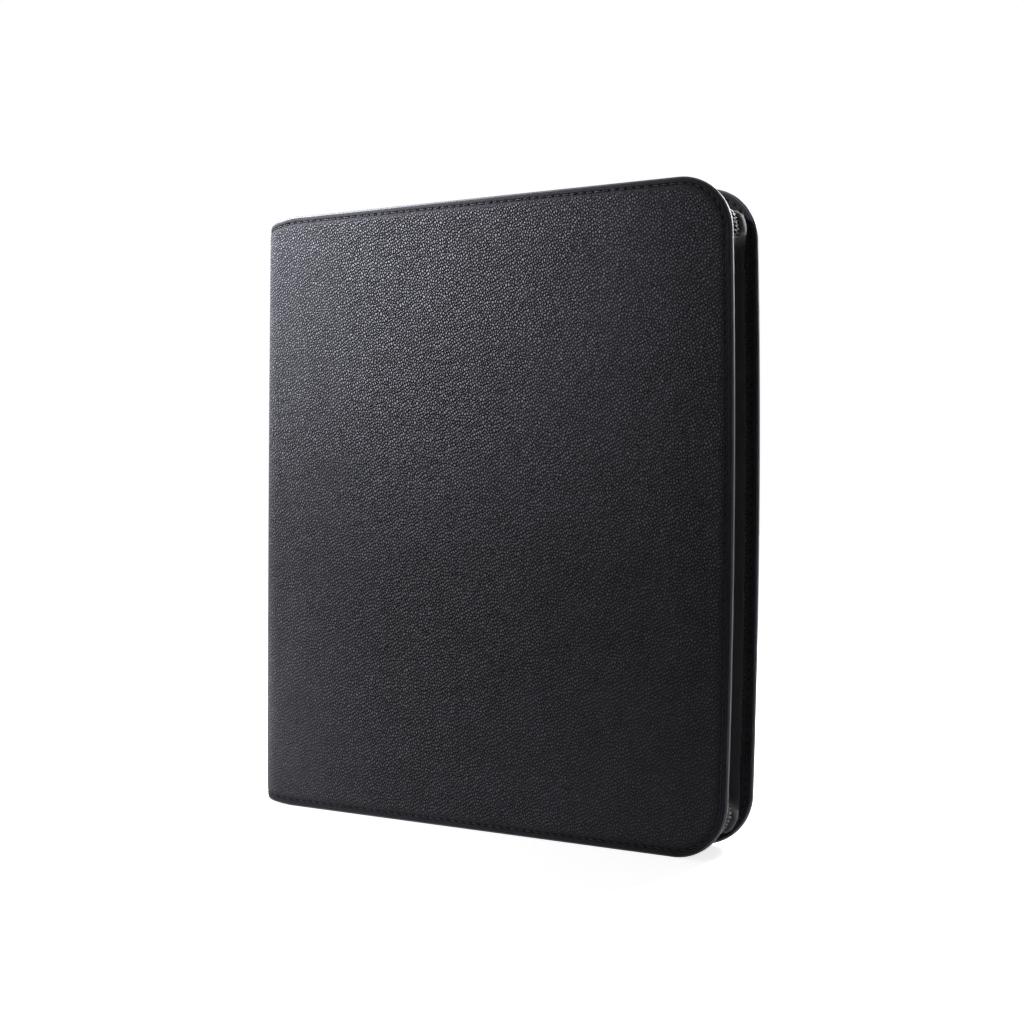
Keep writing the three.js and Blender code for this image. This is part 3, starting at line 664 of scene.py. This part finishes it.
# The share of a stitch's length between two threads
THREAD_GAP = 0.3


def build_threads(name, line, out, pitch, radius):
    """A row of stitches on a face: each dips into the face at both ends."""
    line = np.asarray(line, float)
    way = way_along(line)
    count = int(way[-1] / pitch)
    rise = radius * (-1.2 + 1.9 * THREAD_ARCH ** 0.6)
    out = np.asarray(out, float)
    points = []
    for i in range(count):
        spot = (i + THREAD_GAP / 2 + (1 - THREAD_GAP) * THREAD_WAY) * way[-1] / count
        middle = rows(*(np.interp(spot, way, column) for column in line.T))
        side = np.cross(unit(middle[-1] - middle[0]), out)
        ring = (radius * np.cos(THREAD_TURN)[None, :, None] * side
                + (rise[:, None] + radius * np.sin(THREAD_TURN))[:, :, None] * out)
        points.append((middle[:, None] + ring).reshape(-1, 3))
    return make_object(name, np.concatenate(points), thread_faces(count), sharp=80)


BLACK = (0.0, 0.0, 0.0)


class Nodes:
    """Adds nodes to a tree, and sets or links their sockets."""

    def __init__(self, tree):
        self.tree = tree

    def set(self, socket, value):
        if isinstance(value, bpy.types.NodeSocket):
            self.tree.links.new(value, socket)
        else:
            socket.default_value = value

    def node(self, kind, inputs=None, **settings):
        made = self.tree.nodes.new("ShaderNode" + kind)
        for key, value in settings.items():
            setattr(made, key, value)
        for key, value in (inputs or {}).items():
            self.set(made.inputs[key], value)
        return made

    def math(self, operation, a, b):
        return self.node("Math", {0: a, 1: b}, operation=operation).outputs[0]

    def times(self, a, b):
        return self.math("MULTIPLY", a, b)

    def vector(self, operation, a, b):
        return self.node("VectorMath", {0: a, 1: b}, operation=operation).outputs[0]

    def ramp(self, value, low, high, to_low=0.0, to_high=1.0, shape="SMOOTHSTEP"):
        inputs = {"Value": value, "From Min": low, "From Max": high, "To Min": to_low, "To Max": to_high}
        return self.node("MapRange", inputs, interpolation_type=shape).outputs[0]

    def parts(self, vector):
        return self.node("SeparateXYZ", {"Vector": vector}).outputs


class Shader(Nodes):
    """One procedural material: a Principled surface and the nodes that feed it."""

    def __init__(self, name, color, roughness, metallic=0.0, specular=0.5):
        self.material = bpy.data.materials.new(name)
        self.material.use_nodes = True
        super().__init__(self.material.node_tree)
        self.surface = self.tree.nodes["Principled BSDF"]
        self.put("Base Color", (*color, 1))
        self.put("Roughness", roughness)
        self.put("Metallic", metallic)
        self.put("Specular IOR Level", specular)

    def put(self, socket, value):
        self.set(self.surface.inputs[socket], value)

    def mask(self, name):
        return self.node("Attribute", attribute_name=name).outputs["Fac"]

    def unrolled(self):
        return self.node("UVMap", uv_map="unrolled").outputs[0]

    def place(self):
        return self.node("TexCoord").outputs["Object"]

    def noise(self, vector, scale, detail=2.0, roughness=0.5):
        inputs = {"Vector": vector, "Scale": scale, "Detail": detail, "Roughness": roughness}
        return self.node("TexNoise", inputs).outputs["Fac"]

    def blend(self, share, one, two):
        return self.node("Mix", {0: share, 2: one, 3: two}).outputs[0]

    def paint(self, share, one, two):
        """Base colour between two colours."""
        mixed = self.node("Mix", {0: share}, data_type="RGBA")
        self.set(mixed.inputs[6], (*one, 1))
        self.set(mixed.inputs[7], (*two, 1))
        self.put("Base Color", mixed.outputs[2])

    def bump(self, height_mm):
        """Relief whose height is given in millimetres."""
        inputs = {"Height": height_mm, "Distance": MM, "Strength": 1.0}
        self.put("Normal", self.node("Bump", inputs).outputs[0])


# The leather's grain: its cells, and how much of its colour each kind of place keeps
GRAIN_TURN = 0.47
GRAIN_STRETCH = (0.88, 1.16, 1.0)
GRAIN_DRIFT = 0.0014
GRAIN_RANDOMNESS = 0.8
WRINKLE = 0.022
TRIM_RELIEF = 0.4
COOL_SHINE = (0.93, 0.93, 1.0, 1)
VALLEY_SHARE = 0.07
SPINE_SHARE = 0.22
FORE_SHARE = 0.2
BORDER_SHARE = 0.13
# The rim's paler colour is a painted highlight.
RIM_HIGHLIGHT_SHARE = 0.5


def leather(name, color, pebble, height, roughness, specular, hide=False):
    """Pebbled leather: domed cells, lighter on their tops as a painted highlight and darker in the valleys
    between as painted shade. A hide is calmer at its edges, paler on its rim as a painted highlight, darker
    along its stitch groove as painted shade, and darker with calmer grain towards the bottom as painted
    shade.
    """
    made = Shader(name, color, roughness, specular=specular)
    place = made.unrolled() if hide else made.place()
    drift = made.node("TexNoise", {"Vector": place, "Scale": 240.0, "Detail": 1.0}).outputs["Color"]
    moved = made.vector("ADD", place, made.vector("MULTIPLY", drift, (GRAIN_DRIFT,) * 3))
    turned = made.node("Mapping", {
        "Vector": moved, "Rotation": (0, 0, GRAIN_TURN), "Scale": GRAIN_STRETCH}, vector_type="TEXTURE")
    cells = made.node("TexVoronoi", {
        "Vector": turned.outputs[0], "Scale": 1 / (pebble * MM), "Randomness": GRAIN_RANDOMNESS,
    }, feature="DISTANCE_TO_EDGE", voronoi_dimensions="2D" if hide else "3D").outputs["Distance"]
    dome = made.ramp(cells, 0.0, 0.4)
    # Colour lighter on each pebble's top and darker towards the valleys: a painted highlight and painted
    # shade.
    painted_pebble_shading = made.math("POWER", made.ramp(cells, 0.03, 0.4), 1.7)
    patches = made.ramp(made.noise(place, 26.0), 0.3, 0.7, 0.85, 1.05)
    mottle = made.ramp(made.noise(place, 60.0, 3.0), 0.3, 0.7, 0.88, 1.06)
    rough = made.ramp(dome, 0.0, 0.8, 1.0, roughness)
    if hide:
        across, up, _ = made.parts(place)
        border, rim = made.mask("border"), made.mask("rim")
        # Lower down, the grain's relief is weaker and its colour falls towards the even valley share, so
        # the hide is darker towards the bottom: painted shade.
        patches = made.times(patches, made.ramp(up, 0.02, 0.22, 0.35, 1.0))
        inside = made.ramp(border, STITCH_INSET + 0.3, STITCH_INSET + 4.5, 0.15, 1.0)
        inside = made.times(inside, made.ramp(rim, 0.0, 1.0, 1.0, 0.12))
        relief = made.times(made.times(dome, patches), inside)
    else:
        patches = made.times(patches, TRIM_RELIEF)
        relief = made.times(dome, patches)
    # The painted pebble shading, faded to the even valley share where the patches are weak; on a hide that
    # darkening towards the bottom is painted shade.
    tone = made.blend(patches, VALLEY_SHARE, painted_pebble_shading)
    if hide:
        near_spine = made.ramp(across, 0.02, 0.11, 0.5, 0.0)
        near_fore = made.ramp(made.math("ABSOLUTE", across, 0.0), 0.13, 0.27, 0.0, 0.45)
        near_edge = made.ramp(border, STITCH_INSET + 0.3, STITCH_INSET + 4.5, 0.9, 0.0)
        for share, calm in ((near_spine, SPINE_SHARE), (near_fore, FORE_SHARE), (near_edge, BORDER_SHARE)):
            tone = made.blend(share, tone, calm)
        # A narrow darker band along the stitch line: painted shade in the stitch's groove.
        from_seam = made.math("SUBTRACT", border, STITCH_INSET)
        tone = made.times(tone, made.ramp(made.times(from_seam, from_seam), 0.1, 0.9, 0.35, 1.0))
        # The rim is paler: a painted highlight for the bright line that light draws along the edge. The rim
        # also gets its own roughness.
        painted = made.ramp(rim, 0.5, 1.0)
        tone = made.blend(painted, tone, RIM_HIGHLIGHT_SHARE)
        rough = made.blend(painted, made.blend(near_edge, rough, 0.9), 0.5)
    wrinkle = made.times(made.noise(place, 2600.0), WRINKLE)
    made.bump(made.math("ADD", made.times(relief, height), wrinkle))
    made.paint(made.times(tone, mottle), BLACK, color)
    made.put("Roughness", rough)
    made.put("Specular Tint", COOL_SHINE)
    return made.material


def thread_material():
    made = Shader("stitch_thread", (0.012, 0.0115, 0.0125), 0.55)
    twist = made.node("TexWave", {"Vector": made.unrolled(), "Scale": 900.0, "Distortion": 0.0},
                      wave_type="BANDS", bands_direction="DIAGONAL")
    made.bump(made.times(twist.outputs["Fac"], 0.05))
    return made.material


def dress(piece, material):
    """Gives a piece its one material."""
    piece.data.materials.clear()
    piece.data.materials.append(material)
    return piece


def fit(piece, material, body, solid=None):
    """Dresses a piece, rides it on a body, and puts it in a solid's place if it has one."""
    dress(piece, material)
    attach(piece, body)
    if solid:
        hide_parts(solid)
    return piece


def bend_at_crease(piece, cover):
    """Bakes a piece's placing into its mesh, alike for the front and the back cover."""
    if cover == "front":
        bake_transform(piece)
    else:
        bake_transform(piece)


hide_leather = leather("pebbled_leather", (0.2, 0.2, 0.245), pebble=1.55, height=0.52, roughness=0.48,
                       specular=0.22, hide=True)
thread = thread_material()
for cover, side in COVERS.items():
    hide = dress(build_hide(side, f"{cover}_hide"), hide_leather)
    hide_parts(f"{cover}_leather", "spine_leather")
    bend_at_crease(hide, cover)
    stitching = dress(build_stitching(side, f"{cover}_stitching"), thread)
    bend_at_crease(stitching, cover)


def woven(name, color, thread_pitch, relief, roughness=0.85, sheen=0.25, along_uv=False):
    """Plain woven cloth: crossing threads with a little unevenness."""
    made = Shader(name, color, roughness, specular=0.25)
    made.put("Sheen Weight", sheen)
    place = made.unrolled() if along_uv else made.place()
    parts = made.parts(place)
    one, two = (made.math("SINE", made.times(parts[axis], 2 * math.pi / (thread_pitch * MM)), 0.0)
                for axis in ("X", "Y" if along_uv else "Z"))
    weave = made.times(one, two)
    slub = made.noise(place, 900.0)
    made.bump(made.math("ADD", made.times(weave, relief), made.times(slub, relief)))
    shade = made.ramp(weave, -1.0, 1.0, 0.7, 1.1)
    patch = made.ramp(made.noise(place, 45.0, 3.0), 0.3, 0.7, 0.85, 1.1)
    made.paint(made.times(shade, patch), BLACK, color)
    return made.material


def elastic_material():
    made = Shader("ribbed_elastic", (0.014, 0.014, 0.016), 0.8, specular=0.25)
    place = made.place()
    ribs = made.math("SINE", made.times(made.parts(place)["Z"], 2 * math.pi / (1.1 * MM)), 0.0)
    made.bump(made.math("ADD", made.times(ribs, 0.09), made.times(made.noise(place, 1800.0), 0.04)))
    # Colour darker in the grooves between the ribs: painted shade.
    made.paint(made.ramp(ribs, -1.0, 1.0, 0.45, 1.0), BLACK, (0.016, 0.016, 0.018))
    return made.material


METAL_WEAR = 0.06


def metal(name, color, roughness):
    made = Shader(name, color, roughness, metallic=1.0)
    smear = made.noise(made.place(), 120.0, 4.0)
    made.put("Roughness", made.ramp(smear, 0.25, 0.75, roughness - METAL_WEAR / 2, roughness + METAL_WEAR))
    made.bump(made.times(made.noise(made.place(), 1500.0), 0.004))
    return made.material


def nylon_material():
    made = Shader("nylon_coil", (0.028, 0.027, 0.026), 0.38)
    made.bump(made.times(made.noise(made.place(), 2500.0), 0.02))
    return made.material


def foam_material():
    made = Shader("pad_foam", (0.55, 0.55, 0.53), 0.95, specular=0.2)
    pores = made.node("TexVoronoi", {"Vector": made.place(), "Scale": 900.0})
    made.bump(made.times(pores.outputs["Distance"], 0.4))
    return made.material


def board_material():
    made = Shader("grey_board", (0.21, 0.2, 0.17), 0.95, specular=0.2)
    fibre = made.noise(made.place(), 700.0, 5.0, 0.7)
    made.bump(made.times(fibre, 0.08))
    made.paint(made.ramp(fibre, 0.3, 0.7), (0.17, 0.16, 0.135), (0.26, 0.245, 0.21))
    return made.material


fine_leather = leather("trim_leather", (0.08, 0.079, 0.09), pebble=1.2, height=0.3, roughness=0.42,
                       specular=0.3)
tape_cloth = woven("zip_tape_cloth", (0.02, 0.019, 0.0185), thread_pitch=0.75, relief=0.07, roughness=0.7,
                   sheen=0.1, along_uv=True)
lining_cloth = woven("lining_cloth", (0.024, 0.024, 0.027), thread_pitch=0.9, relief=0.08)
nylon = nylon_material()
dark_metal = metal("dark_nickel", (0.16, 0.16, 0.165), 0.32)
ring_steel = metal("polished_nickel", (0.62, 0.61, 0.6), 0.14)
elastic_cloth = elastic_material()
foam = foam_material()
board = board_material()

for node in ("back_board", "front_board"):
    frame["nodes"][node].data.materials.clear()
    frame["nodes"][node].data.materials.append(board)

# The spine's board ends short of the hide, so that its raw ends stay inside
SPINE_CARD_SHORT = 4.0
spine_card = rounded_copy("spine_board", "spine_card", 0.2, board)
card_low, card_high = corners_mm("spine_board")
card_middle = (card_low[2] + card_high[2]) / 2 * MM
card_share = 1 - 2 * SPINE_CARD_SHORT / (card_high[2] - card_low[2])
for vertex in spine_card.data.vertices:
    vertex.co.z = card_middle + (vertex.co.z - card_middle) * card_share

# The zip: two tapes with their coils, the slider with its pull, and the stops
for cover, side in COVERS.items():
    body = f"{cover}_cover"
    tape = fit(build_tape(cover, side), tape_cloth, body, f"{cover}_zip_tape")
    coil = fit(build_coil(cover, side), nylon, body, f"{cover}_zip_coil")

rounded_copy("zip_slider", "slider_body", 0.45, dark_metal)
rounded_copy("pull_tongue", "pull_frame", 0.25, dark_metal)
rounded_copy("pull_leather", "pull_sleeve", 0.4, fine_leather)
for node in ("zip_top_stop_back", "zip_top_stop_front", "zip_bottom_stop"):
    rounded_copy(node, node.replace("zip_", "crimped_"), 0.5, dark_metal)

PULL_SEAM = 1.2
pull_low, pull_high = corners_mm("pull_leather")
x0, y0, _ = pull_low + PULL_SEAM
x1, y1, _ = pull_high - PULL_SEAM
for face_name, level, out in (("top", pull_high[2], 1), ("under", pull_low[2], -1)):
    seam_line = [(x0, y0, level), (x1, y0, level), (x1, y1, level), (x0, y1, level)]
    seam = build_threads(f"pull_stitches_{face_name}", seam_line, (0, 0, out), 2.2, 0.2)
    fit(seam, thread, "zip_pull")

# The covers' linings, and the foam pads under the hide
LINING_LOW = lining_low[::2]
LINING_HIGH = lining_high[::2]
LINING_RADIUS = CORNER - lining_low[2]
LINING_SEAM = 2.6
for cover, side in COVERS.items():
    body = f"{cover}_cover"
    radii = (1.0, LINING_RADIUS, LINING_RADIUS, 1.0)
    section = soft_edge(LINING_FACE, TAPE_FACE, LINING_SEAM)
    lining = build_panel(f"{cover}_cover_lining", LINING_LOW, LINING_HIGH, radii, side, section)
    fit(lining, lining_cloth, body, f"{cover}_lining")
    seam_path = rounded_outline(LINING_LOW, LINING_HIGH, radii, LINING_SEAM)
    seam_path = np.concatenate([seam_path, seam_path[:1]])
    seam_line = warp(rows(seam_path[:, 0], side * (LINING_FACE + 0.1), seam_path[:, 1]))
    seam = build_threads(f"{cover}_lining_stitches", seam_line, (0, -side, 0), 3.6, 0.24)
    fit(seam, thread, body)


def build_pad(name, side):
    """A cover's foam pad: flat on its board, and crowned under the hide."""
    radius = CORNER - board_low[2]
    edge = HEIGHT - board_high[2]
    profile = [(0.3, BOARD_FACE + 0.05), (0.0, BOARD_FACE + 0.3)]
    for inset in (0.0, 0.6, 2.0, 4.0, 7.0, 11.0, 16.0, 22.0):
        crown = CREST * smoothstep((inset + edge - CROWN_START) / CROWN_WIDTH) + PADDED_STEP
        profile.append((inset, EDGE_FACE + crown - COVER_THICKNESS - 0.15 - 0.5 * max(0, 1 - inset / 2)))
    return build_panel(name, board_low[::2], board_high[::2], (1.0, radius, radius, 1.0), side, profile)


for cover, side in COVERS.items():
    pad = fit(build_pad(f"{cover}_pad", side), foam, f"{cover}_cover", f"{cover}_padding")

# The spine's lining, in two halves
spine_lining_low = corners_mm("spine_lining")[0]
LINING_BEND = SPINE_RADIUS - (spine_lining_low[0] - SPINE_FACE) - 0.4
LINING_OVERLAP = 4.4
SPINE_LINING_THICKNESS = 0.6


def build_spine_lining(name, side):
    """Half of the spine's lining, from its middle, round the bend and under the cover's lining."""
    turn = np.linspace(0, math.pi / 2, 13)
    flat = [(CREASE_X - LINING_BEND, y) for y in np.linspace(0, SPINE_FLAT, 8)[:-1]]
    bend = [(CREASE_X - LINING_BEND * math.cos(a), SPINE_FLAT + LINING_BEND * math.sin(a)) for a in turn]
    reach = SPINE_FLAT + LINING_BEND
    level = (INNER_FACE + TAPE_FACE) / 2
    out = [(CREASE_X + LINING_OVERLAP * t, reach + (level - reach) * smoothstep(t * 1.6))
           for t in np.linspace(0, 1, 7)[1:]]
    outline = thickened(np.array(flat + bend + out), SPINE_LINING_THICKNESS)
    rings = []
    inset = spine_lining_low[2]
    for z in np.linspace(inset + 2, HEIGHT - inset - 2, 60):
        rings.append(rows(outline[:, 0], side * outline[:, 1], z))
    return skinned(name, rings, sharp=50)


for cover, side in COVERS.items():
    half = dress(build_spine_lining(f"{cover}_spine_lining", side), lining_cloth)
    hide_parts("spine_lining")
    bend_at_crease(half, cover)

# The front cover's pockets, sewn on three sides
POCKET_SEAM = 2.0


def build_pocket(node, name, round_top):
    """A pocket's panel with a soft edge, and its stitches down the sides and along the bottom."""
    low, high = corners_mm(node)
    near, face = -high[1], -low[1]
    section = soft_edge(near, face, POCKET_SEAM, 0.3, 0.15)
    radii = (3.0, 3.0, round_top, round_top)
    panel = build_panel(name, low[::2], high[::2], radii, -1, section, moved=lambda points: points)
    fit(panel, fine_leather, "front_cover", node)
    x0, z0 = low[::2] + POCKET_SEAM
    x1, z1 = high[::2] - POCKET_SEAM
    line = [(x, -near - 0.05, z) for x, z in ((x0, z1), (x0, z0), (x1, z0), (x1, z1))]
    seam = build_threads(f"{name}_stitches", line, (0, 1, 0), 3.2, 0.22)
    fit(seam, thread, "front_cover")


build_pocket("document_pocket", "document_pocket_panel", 6.0)
for number in (1, 2, 3):
    build_pocket(f"card_pocket_{number}", f"card_pocket_panel_{number}", 4.0)

# The pen loop: a strip of elastic sewn down at both ends
loop_low, loop_high = corners_mm("pen_loop")
LOOP_STRIP = 1.0
LOOP_RADIUS = (loop_high[1] - loop_low[1]) / 2 - LOOP_STRIP / 2
LOOP_CENTRE = loop_high[0] - LOOP_RADIUS - LOOP_STRIP / 2
LOOP_SWING = 2.35


def build_pen_loop():
    """The loop, and the line along its strip."""
    base = loop_low[0] + LOOP_STRIP / 2 + 0.05
    swing = np.linspace(-LOOP_SWING, LOOP_SWING, 41)
    round_part = [(LOOP_CENTRE + LOOP_RADIUS * math.cos(a), LOOP_RADIUS * math.sin(a)) for a in swing]
    foot = [(base, -6.2), (base, -5.2), (base + 0.1, -4.4), (base + 0.9, -4.2)]
    line = smooth_line(foot + round_part + [(x, -y) for x, y in foot[::-1]], 75)
    outline = thickened(line, LOOP_STRIP)
    ends = np.linspace(loop_low[2], loop_high[2], 30)
    rings = [rows(outline[:, 0], outline[:, 1], z) for z in ends]
    return skinned("pen_loop_strip", rings, sharp=60), line


pen_strip, pen_line = build_pen_loop()
fit(pen_strip, elastic_cloth, "spine", "pen_loop")

# The ring mechanism
for node, name, width in (
    ("ring_channel", "channel_cover", 0.3),
    ("ring_lever_top", "lever_top", 0.5), ("ring_lever_bottom", "lever_bottom", 0.5),
    ("blade_spine_side", "blade_plate_spine_side", 0.2), ("blade_fore_side", "blade_plate_fore_side", 0.2),
    ("ring_rivet_top", "rivet_top", 0.3), ("ring_rivet_bottom", "rivet_bottom", 0.3),
    ("lever_pin_top", "pin_top", 0.2), ("lever_pin_bottom", "pin_bottom", 0.2),
):
    finish = dark_metal if "pin" in node else ring_steel
    rounded_copy(node, name, width, finish)
for number in (1, 2, 3, 4):
    for side_name in ("spine_side", "fore_side"):
        rounded_copy(f"half_ring_{side_name}_{number}", f"ring_{side_name}_{number}", 0.3, ring_steel,
                     angle=50)


# The photograph's camera, in metres and degrees
CAMERA_PLACE = (0.42113, -0.71695, 0.18070)
CAMERA_YAW = -29.7157
CAMERA_PITCH = -0.6424
CAMERA_ROLL = 0.436
CAMERA_LENS = 53.34


def facing(place, right, up, forward):
    """Where a camera or lamp is and how it is turned, from its own three directions."""
    turn = Matrix([[right[i], up[i], -forward[i]] for i in range(3)]).to_4x4()
    return Matrix.Translation(place) @ turn


def make_camera():
    """The camera at the photograph's place and angle."""
    yaw, pitch, roll = (math.radians(a) for a in (CAMERA_YAW, CAMERA_PITCH, CAMERA_ROLL))
    forward = np.array([math.sin(yaw) * math.cos(pitch), math.cos(yaw) * math.cos(pitch), math.sin(pitch)])
    level = np.array([math.cos(yaw), -math.sin(yaw), 0])
    upright = np.cross(level, forward)
    right = level * math.cos(roll) + upright * math.sin(roll)
    up = -level * math.sin(roll) + upright * math.cos(roll)
    data = bpy.data.cameras.new("camera")
    data.lens = CAMERA_LENS
    data.sensor_width = 36
    camera = add_object("camera", data)
    camera.matrix_world = facing(CAMERA_PLACE, right, up, forward)
    bpy.context.scene.camera = camera


# The white studio: its floor and glow, and how much of the white is seen in gloss and gives light
FLOOR_SIZE = 12.0
FLOOR_COLOR = 0.82
FLOOR_GLOW_NEAR = 0.82
FLOOR_GLOW_FAR = 1.0
FLOOR_GLOW_REACH = (0.35, 1.0)
FRONT_GLOSS = 0.05
FRONT_GLOSS_REACH = (-0.2, 0.5)
WORLD_AMBIENT = 0.04


def studio_seen(made, place):
    """1 for rays from the camera and through glass, less for gloss in front of the folder, 0 for light."""
    behind = made.ramp(made.parts(place)["Y"], *FRONT_GLOSS_REACH, FRONT_GLOSS, 1.0)
    rays = made.node("LightPath").outputs
    glossy = made.times(rays["Is Glossy Ray"], behind)
    seen = made.math("MAXIMUM", glossy, rays["Is Camera Ray"])
    return made.math("MAXIMUM", seen, rays["Is Transmission Ray"])


def make_floor():
    """A plain pale floor that shows white and keeps the folder's soft shadow."""
    mesh = bpy.data.meshes.new("floor")
    half = FLOOR_SIZE / 2
    mesh.from_pydata([(-half, -half, 0), (half, -half, 0), (half, half, 0), (-half, half, 0)], [],
                     [(0, 1, 2, 3)])
    floor = add_object("floor", mesh)
    material = bpy.data.materials.new("pale_floor")
    material.use_nodes = True
    material.node_tree.nodes.clear()
    made = Nodes(material.node_tree)
    place = made.node("TexCoord").outputs["Object"]
    away = made.node("VectorMath", {0: place}, operation="LENGTH").outputs["Value"]
    spread = made.ramp(away, *FLOOR_GLOW_REACH, FLOOR_GLOW_NEAR, FLOOR_GLOW_FAR, shape="LINEAR")
    glow = made.node("Emission", {"Strength": made.times(studio_seen(made, place), spread)})
    diffuse = made.node("BsdfDiffuse", {"Color": (FLOOR_COLOR, FLOOR_COLOR, FLOOR_COLOR, 1)})
    total = made.node("AddShader", {0: diffuse.outputs[0], 1: glow.outputs[0]})
    made.node("OutputMaterial", {"Surface": total.outputs[0]})
    mesh.materials.append(material)


def make_world():
    """A white studio: full white to the camera, dim as light, and darker in front to gloss."""
    world = bpy.data.worlds.new("studio")
    bpy.context.scene.world = world
    world.use_nodes = True
    world.node_tree.nodes.clear()
    made = Nodes(world.node_tree)
    place = made.node("TexCoord").outputs["Generated"]
    strength = made.math("MAXIMUM", studio_seen(made, place), WORLD_AMBIENT)
    background = made.node("Background", {"Color": (1, 1, 1, 1), "Strength": strength})
    made.node("OutputWorld", {"Surface": background.outputs[0]})


def hang_lamp(name, kind, place, aim, power):
    """Hangs a lamp that faces its aim, only lights, and isn't seen itself."""
    data = bpy.data.lights.new(name, kind)
    data.energy = power
    toward = unit(np.array(aim, float) - np.array(place, float))
    side = unit(np.cross(toward, [0, 0, 1]))
    lamp = add_object(name, data)
    lamp.matrix_world = facing(place, side, np.cross(side, toward), toward)
    lamp.visible_camera = False
    return data


# Soft boxes: place, aim, size in metres and power in watts
LAMP_AIM = (-0.06, 0.0, 0.2)
LAMPS = {
    "key_close": ((-0.26, -0.11, 0.38), LAMP_AIM, (0.12, 0.12), 0.12),
    "side_low": ((-0.4, -0.07, 0.08), LAMP_AIM, (0.12, 0.14), 0.9),
    "rim_back": ((0.3, 0.9, 0.7), (0.14, 0.0, 0.2), (0.3, 0.5), 14.0),
    "back_key": ((-0.5, 0.8, 0.6), (0.0, 0.02, 0.17), (0.4, 0.4), 3.0),
    "top": ((0.1, 0.35, 1.6), (0.05, 0.0, 0.0), (1.4, 1.4), 4.5),
    "top_edge": ((0.1, -0.17, 1.0), (0.0, -0.02, 0.33), (0.5, 0.15), 0.2),
}
# Spotlights whose light ends softly on the front cover: place, aim, angle, softness and power
POOL_RADIUS = 0.045
POOLS = {
    "pool_high": ((-0.38, -0.25, 0.582), (-0.25, -0.02, 0.481), 70.0, 0.4, 41.0),
    "pool_low": ((-0.52, -0.7, 0.05), (-0.104, -0.02, -0.074), 35.7, 1.0, 16.0),
}


make_camera()
make_floor()
make_world()
for name, (place, aim, size, power) in LAMPS.items():
    lamp = hang_lamp(name, "AREA", place, aim, power)
    lamp.shape = "RECTANGLE"
    lamp.size, lamp.size_y = size
for name, (place, aim, angle, softness, power) in POOLS.items():
    lamp = hang_lamp(name, "SPOT", place, aim, power)
    lamp.spot_size = math.radians(angle)
    lamp.spot_blend = softness
    lamp.shadow_soft_size = POOL_RADIUS
bpy.context.scene.view_settings.view_transform = "Standard"
